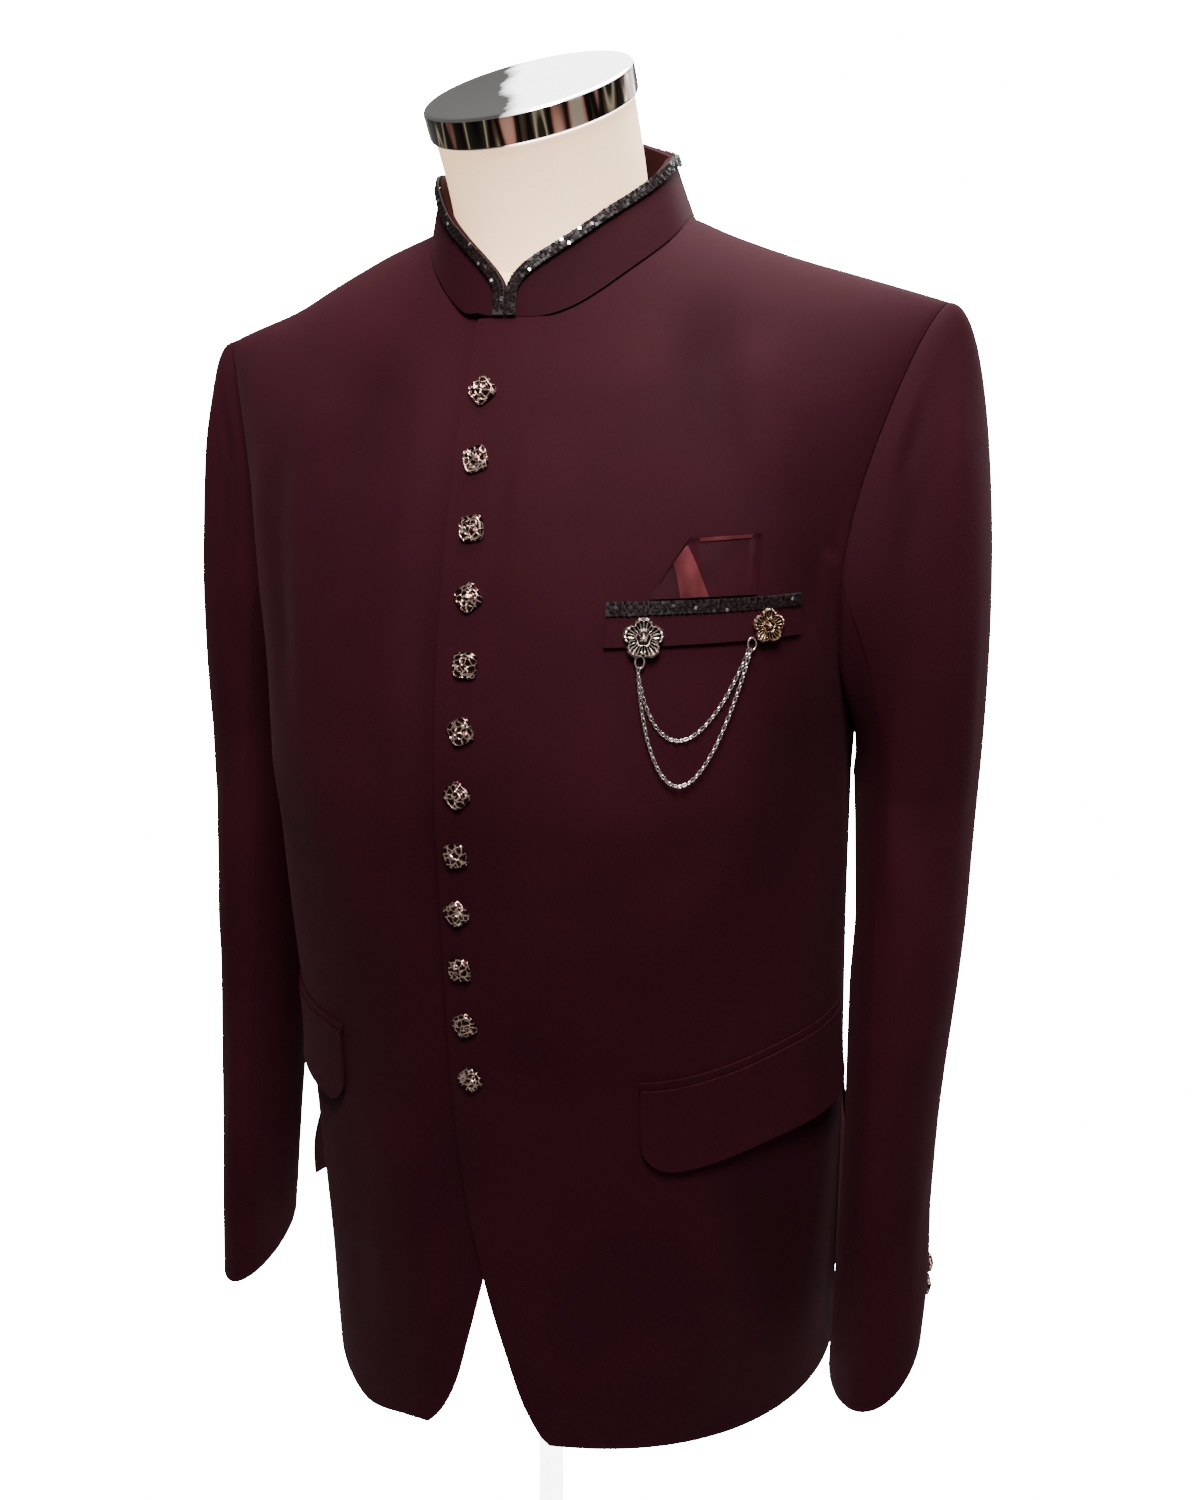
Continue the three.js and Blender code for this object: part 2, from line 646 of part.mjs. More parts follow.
// The collar's outline from the front middle: up its end, round its corner and along its top.
function collarOutline(side, share, inset) {
  const length = tableOf(side)[NECK_STEPS].along;
  if (share < 0.06) {
    return { along: inset, high: mix(0, COLLAR_END_HEIGHT, share / 0.06) };
  }
  const rise = COLLAR_TOP[0][wordOf(side)] - COLLAR_END_HEIGHT;
  if (share < 0.36) {
    const angle = rad(((share - 0.06) / 0.3) * 90);
    const along = COLLAR_CORNER.along * (1 - Math.cos(angle));
    const high = COLLAR_END_HEIGHT + rise * Math.sin(angle) ** (1 / COLLAR_CORNER.round);
    const inward = new THREE.Vector2(rise * Math.cos(angle), -COLLAR_CORNER.along * Math.sin(angle)).normalize();
    return { along: along + inward.x * inset, high: high + inward.y * inset };
  }
  const along = mix(COLLAR_CORNER.along, length, (share - 0.36) / 0.64);
  return { along, high: read(COLLAR_TOP, wordOf(side), 'share', along / length) - inset };
}

// Runs from the left front end round the back to the right front end, from 0 to 1.
function bothHalves(a, place) {
  const half = a * 2;
  return half <= 1 ? place(1, half) : place(-1, 2 - half);
}

const collarSurface = (a, b) =>
  bothHalves(a, (side, share) => {
    const edge = collarOutline(side, mix(0.06, 1, share), 0);
    return collarFace(side, edge.along, edge.high * b);
  });

const collarTrimSurface = (a, b) =>
  bothHalves(a, (side, share) => {
    const edge = collarOutline(side, share, mix(TRIM_WIDE, 0.2, b));
    return collarFace(side, edge.along, edge.high);
  });

const COLLAR_COLS = 44;
const TRIM_COLS = 60;
add('collar', wall(COLLAR_COLS, 4, collarSurface, 1, COLLAR_CLOTH, -COLLAR_CLOTH), SUITING);
add('collar_trim', wall(TRIM_COLS, 1, collarTrimSurface, 1, TRIM_CLOTH, SEAM_GAP * 3), SEQUINS);

// A point on the front, this far from the middle and this high, moved out by so much.
function frontPoint(side, x, h, out) {
  let low = 0;
  let high = 1.9;
  for (let i = 0; i < 24; i += 1) {
    const middle = (low + high) / 2;
    if (bodyPoint(side, girthAt(side, x, middle), middle).z < h) low = middle;
    else high = middle;
  }
  return bodyOffset(side, girthAt(side, x, low), low, out);
}

// A point on the side of the body, so far round from a starting point on the front.
function roundPoint(side, x, along, h, out) {
  const up = h / CHEST;
  const start = girthAt(side, x, up);
  const near = bodyPoint(side, start, up);
  const far = bodyPoint(side, start + 0.5, up);
  const girth = start + (0.5 * along) / near.distanceTo(far);
  return bodyOffset(side, girth, up, out);
}

// A hip pocket: a flap with rounded lower corners under a thin jet.
const flapShare = (a) => a - (Math.sin(2 * Math.PI * a) / (2 * Math.PI)) * 0.85;

function flapDrop(along) {
  const edge = Math.min(along, FLAP.across - along);
  if (edge >= FLAP.corner) return FLAP.tall;
  const far = 1 - edge / FLAP.corner;
  return FLAP.tall - FLAP.corner * (1 - Math.sqrt(Math.max(1 - far * far, 0)));
}

function flapTop(side, along) {
  const rise = FLAP_RISE[wordOf(side)];
  return FLAP.h + rise * smooth(0, 95, along);
}

const flapSurface = (side) => (a, b) => {
  const along = FLAP.across * flapShare(a);
  const out = FLAP.lift + FLAP.flare * (1 - b) ** 2 * (0.4 + smooth(0, 120, along));
  return roundPoint(side, FLAP.x, along, flapTop(side, along) - flapDrop(along) * (1 - b), out);
};

function jetSurface(side) {
  return (a, b) => {
    const along = mix(-1, FLAP.across + 1, a);
    return roundPoint(side, FLAP.x, along, flapTop(side, along) + SEAM_GAP + JET.tall * b, SEAM_GAP);
  };
}

[['left', 1], ['right', -1]].forEach(([word, side]) => {
  add(`hip_flap_${word}`, wall(12, 4, flapSurface(side), side, FLAP_CLOTH), SUITING);
  add(`hip_jet_${word}`, wall(10, 1, jetSurface(side), side, JET.thick), SUITING_UNDER);
});

// The breast welt, its trim, and the square folded into the pocket behind it.
const weltBottom = (share) => WELT.h + WELT.slant * share;

const weltX = (share) => WELT.x + WELT.across * share * (1 - 0.13 * share);
const weltSurface = (a, b) => frontPoint(1, weltX(a), weltBottom(a) + WELT.tall * b, SEAM_GAP);
const weltTrimSurface = (a, b) => {
  const tall = WELT_TRIM.tall * (1 - 0.2 * a);
  return frontPoint(1, weltX(a), weltBottom(a) + WELT.tall + SEAM_GAP + tall * b, SEAM_GAP);
};
const WELT_THICK = 1.9;
add('breast_welt', wall(10, 2, weltSurface, 1, WELT_THICK), SUITING);
add('breast_welt_trim', wall(12, 1, weltTrimSurface, 1, WELT_TRIM.thick), SEQUINS);

// The folded square: a point, then a straight top fold, standing behind the welt's upper edge.
const squareTop = (a) => SQUARE.tall * Math.min(0.1 + 2.9 * a, 1) + 1.6 * a;
const squareSurface = (a, b) => {
  const share = (SQUARE.x - WELT.x + SQUARE.wide * a) / WELT.across;
  const foot = weltBottom(share) + WELT.tall + WELT_TRIM.tall + SEAM_GAP * 3;
  const ridge = 1.8 * Math.exp(-(((a - mix(0.42, 0.27, b)) / 0.08) ** 2));
  return frontPoint(1, SQUARE.x + SQUARE.wide * a, foot + squareTop(a) * b, SEAM_GAP + ridge);
};
add('pocket_square', wall(14, 4, squareSurface, 1, SQUARE.thick), SATIN);

// Turns a shape that is modelled lying flat, so that it stands on a surface and faces outward.
function placeOn(mesh, seat, out, turn = 0) {
  const up = new THREE.Vector3(0, 0, 1);
  const across = new THREE.Vector3().crossVectors(up, out).normalize();
  const along = new THREE.Vector3().crossVectors(out, across).normalize();
  const frame = new THREE.Matrix4().makeBasis(across, along, out);
  mesh.quaternion.setFromRotationMatrix(frame).multiply(
    new THREE.Quaternion().setFromAxisAngle(up, rad(turn)),
  );
  mesh.position.copy(seat);
}

// A round-cornered square button, raised in steps to a blunt point.
const BUTTON_STEPS = [
  { size: 0.82, high: 0 },
  { size: 1, high: 0.22 },
  { size: 1, high: 0.42 },
  { size: 0.62, high: 0.78 },
  { size: 0.2, high: 1 },
];
const BUTTON_SIDES = 16;

function buttonGeometry(size, thick) {
  const rings = BUTTON_STEPS.map((step) => {
    const ring = [];
    for (let i = 0; i < BUTTON_SIDES; i += 1) {
      const angle = ((i + 0.5) / BUTTON_SIDES) * 2 * Math.PI;
      const c = Math.cos(angle);
      const s = Math.sin(angle);
      const square = (c ** 4 + s ** 4) ** -0.25;
      const r = (size / 2) * step.size * square;
      ring.push(new THREE.Vector3(r * c, r * s, thick * step.high));
    }
    return ring;
  });
  return ringBody(rings);
}

function surfaceNormal(at, x, h) {
  const across = at(x + 1, h).sub(at(x - 1, h));
  const along = at(x, h + 1).sub(at(x, h - 1));
  return across.cross(along).normalize();
}

// The cloth's facets lie a little inside its true curve, so buttons sit close to it.
const BUTTON_OUT = 0.1;
const leftFront = (x, h) => frontPoint(1, x, h, 0);

for (let i = 0; i < FRONT_BUTTONS; i += 1) {
  const h = FIRST_BUTTON - BUTTON_STEP * i;
  const wave = Math.cos(((h - BUTTON_LINE.crest) / BUTTON_LINE.wave) * 2 * Math.PI);
  const x = BUTTON_LINE.x + BUTTON_LINE.sway * wave;
  const out = surfaceNormal(leftFront, x, h);
  const name = `front_button_${String(i + 1).padStart(2, '0')}`;
  const button = add(name, buttonGeometry(BUTTON_SIZE, BUTTON_THICK), SILVER);
  placeOn(button, leftFront(x, h).addScaledVector(out, BUTTON_OUT), out, BUTTON_TURNS[i]);
}

[['left', 1], ['right', -1]].forEach(([word, side]) => {
  CUFF_BUTTON_HEIGHTS[word].forEach((h, i) => {
    let down = 0.6;
    for (let k = 0.05; k > 0.0001; k /= 2) {
      while (down < 1 && sleevePoint(side, CUFF_BUTTON_AROUND, down).z > h) down += k;
      down -= k;
    }
    const seat = sleevePoint(side, CUFF_BUTTON_AROUND, down);
    const across = sleevePoint(side, CUFF_BUTTON_AROUND + 3, down)
      .sub(sleevePoint(side, CUFF_BUTTON_AROUND - 3, down));
    const along = sleevePoint(side, CUFF_BUTTON_AROUND, down - 0.005).sub(seat);
    const out = across.cross(along).normalize();
    if (out.x * side < 0) out.negate();
    const shape = buttonGeometry(CUFF_BUTTON_SIZE, CUFF_BUTTON_THICK);
    const button = add(`cuff_button_${word}_${i + 1}`, shape, SILVER);
    placeOn(button, seat.addScaledVector(out, 0.5), out, BUTTON_TURNS[i]);
  });
});

// A flower pin: five petals round a raised middle.
const PETALS = 5;
const PIN_SIDES = 30;
const PIN_STEPS = [
  { size: 0.86, high: 0 },
  { size: 1, high: 0.3 },
  { size: 0.94, high: 0.5 },
  { size: 0.5, high: 0.42 },
  { size: 0.3, high: 0.85 },
  { size: 0.14, high: 1 },
];

function pinGeometry(size) {
  const rings = PIN_STEPS.map((step) => {
    const ring = [];
    for (let i = 0; i < PIN_SIDES; i += 1) {
      const angle = (i / PIN_SIDES) * 2 * Math.PI;
      const petal = 0.76 + 0.24 * Math.abs(Math.cos((angle * PETALS) / 2)) ** 0.7;
      const r = (size / 2) * step.size * mix(1, petal, smooth(0.25, 0.7, step.size));
      ring.push(new THREE.Vector3(r * Math.cos(angle), r * Math.sin(angle), PIN_THICK * step.high));
    }
    return ring;
  });
  return ringBody(rings);
}

const PIN_OUT = SEAM_GAP * 2 + WELT_THICK;
Object.entries(PINS).forEach(([word, pin]) => {
  const out = surfaceNormal(leftFront, pin.x, pin.h);
  const mesh = add(`brooch_pin_${word}`, pinGeometry(pin.size), word === 'front' ? SILVER : OLD_GOLD);
  placeOn(mesh, frontPoint(1, pin.x, pin.h, PIN_OUT), out, 90);
});

// A chain hangs from pin to pin in a sagging curve, just clear of the cloth.
const CHAIN_STEPS = 30;
const CHAIN_SIDES = 8;

class Hanging extends THREE.Curve {
  constructor(chain) {
    super();
    this.chain = chain;
  }

  getPoint(t, target = new THREE.Vector3()) {
    const x = mix(CHAIN_FROM.x, CHAIN_TO.x, t);
    const sag = (CHAIN_FROM.h + CHAIN_TO.h) / 2 - this.chain.low;
    const share = 1 - (2 * t ** 0.86 - 1) ** 2;
    const h = mix(CHAIN_FROM.h, CHAIN_TO.h, t) - sag * share ** 0.9;
    return target.copy(frontPoint(1, x, h, this.chain.out));
  }
}

Object.entries(CHAINS).forEach(([word, chain]) => {
  const section = new THREE.Shape();
  for (let k = 0; k <= CHAIN_SIDES; k += 1) {
    const angle = (k / CHAIN_SIDES) * 2 * Math.PI;
    const corner = new THREE.Vector2(Math.cos(angle), Math.sin(angle)).multiplyScalar(CHAIN_RADIUS);
    if (k === 0) section.moveTo(corner.x, corner.y);
    else section.lineTo(corner.x, corner.y);
  }
  const sweep = { steps: CHAIN_STEPS, extrudePath: new Hanging(chain), bevelEnabled: false };
  add(`brooch_chain_${word}`, new THREE.ExtrudeGeometry(section, sweep), SILVER);
});

// The form's torso, a little inside the cloth, closed below and along the shoulders.
const FORM_AROUND = 40;
const FORM_RISES = [0, 14, 28, 42, 55, 66, 75, 82, 87];

function formPoint(share, up) {
  const quarter = share * 4;
  const side = quarter <= 2 ? 1 : -1;
  const girth = quarter <= 2 ? quarter : 4 - quarter;
  const rise = rad(Math.max(up - 1, 0) * 90);
  const ease = FORM_EASE.shoulder + FORM_EASE.chest * Math.cos(rise) ** 1.4 + FORM_EASE.hip * smooth(1, 0.5, up);
  const point = bodyOffset(side, THREE.MathUtils.clamp(girth, 0.001, 1.999), up, -ease);
  const narrow = 1 - 0.1 * smooth(0, 60, (up - 1) * 90) * smooth(0.5, 1, Math.abs(point.x) / SHOULDER_HALF);
  point.x *= narrow;
  return point;
}

function torsoRings() {
  const ups = [FORM_BOTTOM / CHEST, 0.5, 0.68, 0.85, ...FORM_RISES.map((rise) => 1 + rise / 90)];
  const rings = ups.map((up) => {
    const ring = [];
    for (let i = 0; i < FORM_AROUND; i += 1) ring.push(formPoint(i / FORM_AROUND, up));
    return ring;
  });
  rings[0].forEach((point) => point.setZ(FORM_BOTTOM));
  return rings;
}

// The neck leans with its cap and ends square under it.
const CAP_TURN = new THREE.Quaternion().setFromEuler(
  new THREE.Euler(rad(NECK_LEAN.forward), rad(NECK_LEAN.side), 0),
);
const CAP_PLACE = new THREE.Vector3(CAP_CENTRE.x, CAP_CENTRE.y, CAP_CENTRE.h);
const NECK_FOOT = new THREE.Vector3(0, 8, 640);
const NECK_RINGS = 8;
const NECK_SIDES = 32;

function neckRings() {
  const drop = new THREE.Vector3(0, 0, CAP_THICK + SEAM_GAP).applyQuaternion(CAP_TURN);
  const top = CAP_PLACE.clone().sub(drop);
  const rings = [];
  for (let i = 0; i <= NECK_RINGS; i += 1) {
    const t = i / NECK_RINGS;
    const turn = new THREE.Quaternion().slerp(CAP_TURN, smooth(0.1, 1, t));
    const centre = NECK_FOOT.clone().lerp(top, t);
    centre.y = mix(NECK_FOOT.y, top.y, t ** 2.4);
    const radius = NECK_RADIUS * (1 + 0.06 * (1 - t) ** 2);
    const ring = [];
    for (let k = 0; k < NECK_SIDES; k += 1) {
      const angle = (k / NECK_SIDES) * 2 * Math.PI;
      const spoke = new THREE.Vector3(Math.cos(angle), Math.sin(angle), 0).multiplyScalar(radius);
      ring.push(spoke.applyQuaternion(turn).add(centre));
    }
    rings.push(ring);
  }
  return rings;
}

function toSolid(geometry) {
  const plain = geometry.clone();
  ['normal', 'uv'].forEach((name) => plain.deleteAttribute(name));
  const merged = mergeVertices(plain, 1e-4);
  return new wasm.Manifold(new wasm.Mesh({
    numProp: 3,
    vertProperties: new Float32Array(merged.attributes.position.array),
    triVerts: new Uint32Array(merged.index.array),
  }));
}

function fromSolid(solid) {
  const mesh = solid.getMesh();
  const geometry = new THREE.BufferGeometry();
  geometry.setAttribute('position', new THREE.Float32BufferAttribute(mesh.vertProperties, 3));
  geometry.setIndex(Array.from(mesh.triVerts));
  return geometry;
}

const torso = toSolid(ringBody(torsoRings())).add(toSolid(ringBody(neckRings())));
add('form_torso', fromSolid(torso), CREAM);

// The cap on the neck: a thick disc with softened edges.
const CAP_EDGE = 2.5;
const capProfile = [
  new THREE.Vector2(0, -CAP_THICK),
  new THREE.Vector2(CAP_RADIUS - CAP_EDGE, -CAP_THICK),
  new THREE.Vector2(CAP_RADIUS, -CAP_THICK + CAP_EDGE),
  new THREE.Vector2(CAP_RADIUS, -CAP_EDGE),
  new THREE.Vector2(CAP_RADIUS - CAP_EDGE * 0.3, -CAP_EDGE * 0.3),
  new THREE.Vector2(CAP_RADIUS - CAP_EDGE, 0),
  new THREE.Vector2(0, 0),
];
const upright = new THREE.Quaternion().setFromAxisAngle(new THREE.Vector3(1, 0, 0), rad(90));
const cap = add('neck_cap', new THREE.LatheGeometry(capProfile, 40), CHROME);
cap.quaternion.copy(CAP_TURN).multiply(upright);
cap.position.copy(CAP_PLACE);

// The stand: a round base and a pole up into the torso.
const baseProfile = [
  new THREE.Vector2(0, 0),
  new THREE.Vector2(BASE_RADIUS, 0),
  new THREE.Vector2(BASE_RADIUS, BASE_THICK * 0.55),
  new THREE.Vector2(BASE_RADIUS - 4, BASE_THICK * 0.85),
  new THREE.Vector2(BASE_RADIUS - 12, BASE_THICK),
  new THREE.Vector2(0, BASE_THICK),
];
const base = add('stand_base', new THREE.LatheGeometry(baseProfile, 48), WHITE_STEEL, group);
base.quaternion.copy(upright);

const poleTop = HEM_ABOVE_FLOOR + FORM_BOTTOM - SEAM_GAP;
const poleProfile = [
  new THREE.Vector2(0, BASE_THICK + SEAM_GAP),
  new THREE.Vector2(POLE_RADIUS * 2, BASE_THICK + SEAM_GAP),
  new THREE.Vector2(POLE_RADIUS * 2, BASE_THICK + 8),
  new THREE.Vector2(POLE_RADIUS, BASE_THICK + 14),
  new THREE.Vector2(POLE_RADIUS, poleTop - 10),
  new THREE.Vector2(POLE_RADIUS * 2.4, poleTop - 6),
  new THREE.Vector2(POLE_RADIUS * 2.4, poleTop),
  new THREE.Vector2(0, poleTop),
];
const pole = add('stand_pole', new THREE.LatheGeometry(poleProfile, 24), WHITE_STEEL, group);
pole.quaternion.copy(upright);

export default group;
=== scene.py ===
# %% [markdown]
# A bandhgala jacket on a limbless dress form.
# The jacket is a closed-collar coat of fine dark maroon worsted. It hangs on a form that has
# a cream neck, a mirror-bright cap and a slim white stand.
# The shapes are worked out here in millimetres, from the same few sizes as the part's solids, because
# cloth needs a much finer mesh than a solid does. Each mesh is turned into metres when it is made.
# The wearer faces -Y, the wearer's left is +X, and heights on the jacket are counted from its hem.

# %% Load the frame
import math
import random

import bmesh
import bpy
import numpy as np
from mathutils import Matrix, Vector


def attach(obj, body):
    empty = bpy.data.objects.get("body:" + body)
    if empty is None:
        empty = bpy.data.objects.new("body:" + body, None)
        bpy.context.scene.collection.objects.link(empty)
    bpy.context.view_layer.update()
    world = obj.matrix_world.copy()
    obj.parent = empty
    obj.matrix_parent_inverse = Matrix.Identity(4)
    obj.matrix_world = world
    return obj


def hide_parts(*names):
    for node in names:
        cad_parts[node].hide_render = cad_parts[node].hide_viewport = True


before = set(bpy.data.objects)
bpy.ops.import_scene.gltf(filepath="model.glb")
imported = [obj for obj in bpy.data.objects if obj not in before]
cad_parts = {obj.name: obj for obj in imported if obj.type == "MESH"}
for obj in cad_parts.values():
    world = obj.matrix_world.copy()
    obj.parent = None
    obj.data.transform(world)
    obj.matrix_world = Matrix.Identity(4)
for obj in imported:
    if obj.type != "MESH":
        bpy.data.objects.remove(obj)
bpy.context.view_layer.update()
scene = bpy.context.scene
HEM_ABOVE_FLOOR = 400.0

# %% [markdown]
# The camera comes first. It stands to the wearer's left at about chest height and looks a little down.
# A camera can be aimed with a constraint or with angles. Here its three axes are worked out from the
# angles, so nothing else has to be in the scene.

# %% Camera
CAMERA = {"turn": 21.0, "away": 747.0, "height": 598.0, "aim": 18.8, "down": 14.6, "roll": 0.8}
IMAGE_TALL = 1500
FOCAL_PIXELS = 1218


def in_metres(x, y, h):
    """A place in millimetres, with its height above the hem, as a place of the scene."""
    return Vector((x, y, h + HEM_ABOVE_FLOOR)) / 1000


def make_camera():
    turn, aim, down, roll = (math.radians(CAMERA[k]) for k in ("turn", "aim", "down", "roll"))
    forward = Vector(
        (-math.sin(aim) * math.cos(down), math.cos(aim) * math.cos(down), -math.sin(down))
    )
    level = forward.cross(Vector((0, 0, 1))).normalized()
    upright = level.cross(forward)
    right = level * math.cos(roll) + upright * math.sin(roll)
    up = upright * math.cos(roll) - level * math.sin(roll)
    data = bpy.data.cameras.new("camera")
    data.lens = data.sensor_width * FOCAL_PIXELS / IMAGE_TALL
    data.clip_start = 0.05
    camera = bpy.data.objects.new("camera", data)
    scene.collection.objects.link(camera)
    away = CAMERA["away"]
    place = in_metres(away * math.sin(turn), -away * math.cos(turn), CAMERA["height"])
    camera.matrix_world = Matrix(
        [[right[i], up[i], -forward[i], place[i]] for i in range(3)] + [[0, 0, 0, 1]]
    )
    return camera


scene.camera = make_camera()
print("lens:", round(scene.camera.data.lens, 2), "mm")

# %% [markdown]
# The sizes of the jacket. Each table is a few rows of named columns, and a smooth curve runs through
# its rows. A body could also be sculpted or lofted by hand, but then no size could be checked or changed.

# %% Sizes of the jacket
CHEST = 400.0
BODY_CLOTH, SLEEVE_CLOTH, COLLAR_CLOTH, FLAP_CLOTH = 2.0, 1.8, 2.6, 1.8
SEAM_GAP = 0.3


def table(columns, *rows):
    """Rows of numbers under named columns, as one array for each column."""
    return {name: np.array(values, float) for name, values in zip(columns.split(), zip(*rows))}


GIRTH = table(
    "h left right front back side full",
    (-12, 195, 161, -131, 120, 26, 0.005),
    (0, 195, 163, -131, 120, 26, 0.005),
    (100, 193, 169, -128, 118, 25, 0.015),
    (200, 190, 174, -126, 112, 22, 0.03),
    (300, 186, 179, -131, 108, 19, 0.045),
    (400, 183, 181, -138, 114, 15, 0.06),
)
ARMHOLE = table(
    "down left right rise",
    (0, 0.78, 0.9, 90),
    (0.12, 0.75, 0.875, 80),
    (0.25, 0.715, 0.845, 67),
    (0.4, 0.69, 0.82, 51),
    (0.55, 0.685, 0.8, 37),
    (0.7, 0.715, 0.8, 25),
    (0.85, 0.8, 0.85, 15),
    (1, 1, 1, 9.5),
)
SHOULDER_LINE = table(
    "across left right",
    (0, 730.5, 730.5),
    (0.04, 729.8, 729.8),
    (0.1, 727, 727.5),
    (0.25, 720, 717),
    (0.34, 714, 709.5),
    (0.45, 703.5, 700.5),
    (0.6, 691.5, 685.5),
    (0.75, 681.5, 669.5),
    (0.9, 671.5, 658.5),
    (1, 664.5, 651),
)
LEFT_EDGE = table(
    "h x",
    (-12, 56), (0, 47), (5, 42), (15, 36), (30, 29), (60, 19), (85, 11),
    (105, 5.5), (125, 1), (150, -5), (200, -12), (250, -15), (400, -16), (660, -15),
)
RIGHT_EDGE = table(
    "h x",
    (-12, -52), (-8, -45), (3, -33), (15, -24), (35, -15), (60, -8),
    (85, -2), (105, 2.5), (150, 8), (200, 11), (250, 13), (660, 13),
)
SLEEVE = table(
    "h x y half deep",
    (30, 228.5, -26, 28.5, 36),
    (100, 228.5, -15, 29.5, 41),
    (200, 227, 0, 31, 48),
    (300, 224.5, 15, 33, 54),
    (400, 222, 30, 35, 59),
)
SHOULDER = {"y": 8, "half": 228}
NECK = {"front": -76, "back": 62, "left": 77.5, "right": 72, "round_left": 0.87, "round_right": 0.97}
NECK_SWELL = {"left": 6.5, "right": 0, "turn": 65, "wide": 20}

# %% [markdown]
# The maths that both the curves and the folds use. Whole arrays are worked out at once, because a panel
# has tens of thousands of points and a loop over them in Python would be slow.

# %% Curves through the tables


def mix(a, b, t):
    return a + (b - a) * t


def smooth(start, end, x):
    """Rises gently from 0 to 1 while x goes from start to end, either way round."""
    t = np.clip((x - start) / (end - start), 0, 1)
    return t * t * (3 - 2 * t)


def read(rows, key, by, at):
    """A value from a table, on smooth curves through its rows."""
    xs, ys = rows[by], rows[key]
    last = len(xs) - 1
    at = np.clip(at, xs[0], xs[last])
    i = np.clip(np.searchsorted(xs, at) - 1, 0, last - 1)
    k = np.arange(last + 1)
    low, high = np.maximum(k - 1, 0), np.minimum(k + 1, last)
    slope = (ys[high] - ys[low]) / (xs[high] - xs[low])
    width = xs[i + 1] - xs[i]
    t = (at - xs[i]) / width
    t2, t3 = t * t, t * t * t
    return (
        ys[i] * (2 * t3 - 3 * t2 + 1)
        + slope[i] * width * (t3 - 2 * t2 + t)
        + ys[i + 1] * (3 * t2 - 2 * t3)
        + slope[i + 1] * width * (t3 - t2)
    )


def points(x, y, z):
    return np.stack(np.broadcast_arrays(x, y, z), axis=-1).astype(float)


def unit(v):
    return v / np.maximum(np.linalg.norm(v, axis=-1, keepdims=True), 1e-9)


# %% [markdown]
# The body of the jacket. A tailored coat keeps its own round form: nearly an oval in every level
# section, and above the chest a yoke that rises to the shoulder seam. It is one surface with two
# coordinates, girth from the front middle (0) round to the back middle (2), and up from the hem (0) past the
# chest (1) to the shoulder (2). Panels, flaps and pockets are all cut out of it, so they fit each other.

# %% The body's surface


def word_of(side):
    return "left" if side > 0 else "right"


def section(side, girth, h):
    turn = np.radians(girth * 90)
    full = 1 + read(GIRTH, "full", "h", h) * np.sin(2 * turn) ** 2
    reach = read(GIRTH, word_of(side), "h", h)
    middle = read(GIRTH, "side", "h", h)
    front, back = read(GIRTH, "front", "h", h), read(GIRTH, "back", "h", h)
    face = np.where(np.cos(turn) >= 0, front, back)
    return np.sin(turn) * full, reach, middle + (face - middle) * np.abs(np.cos(turn)) * full


def shoulder_height(side, across):
    return read(SHOULDER_LINE, word_of(side), "across", across)


def yoke_full(girth, rise):
    return 1 + mix(-0.04, 0.1, smooth(0.6, 1.4, girth)) * np.sin(2 * rise) ** 2


def yoke_reach(reach, rise):
    return mix(reach, SHOULDER["half"], np.sin(rise) ** 2)


def body_point(side, girth, up):
    girth, up = np.broadcast_arrays(np.asarray(girth, float), np.asarray(up, float))
    low = np.minimum(up, 1) * CHEST
    across, reach, y = section(side, girth, low)
    rise = np.radians(np.maximum(up - 1, 0) * 90)
    full = yoke_full(girth, rise)
    half_gap = np.where(girth < 1, -SEAM_GAP / 2, SEAM_GAP / 2)
    seam = SHOULDER["y"] + half_gap * smooth(1.7, 2, up)
    return points(
        side * across * yoke_reach(reach, rise),
        seam + (y - seam) * np.cos(rise) * full,
        low + (shoulder_height(side, across) - CHEST) * np.sin(rise) * full,
    )


def body_normal(side, girth, up, step=0.004):
    up = np.minimum(up, 1.996)
    across = body_point(side, girth + step, up) - body_point(side, girth - step, up)
    along = body_point(side, girth, np.minimum(up + step, 2)) - body_point(side, girth, up - step)
    return unit(np.cross(across, along)) * side


def girth_at(side, x, up):
    """The girth place of a point on the front that lies x from the middle."""
    h = np.minimum(up, 1) * CHEST
    rise = np.radians(np.maximum(up - 1, 0) * 90)
    reach = yoke_reach(read(GIRTH, word_of(side), "h", h), rise)
    full = read(GIRTH, "full", "h", h)
    turn = np.arcsin(x / reach)
    for _ in range(6):
        turn = np.arcsin(x / reach / (1 + full * np.sin(2 * turn) ** 2))
    return turn / np.radians(90)


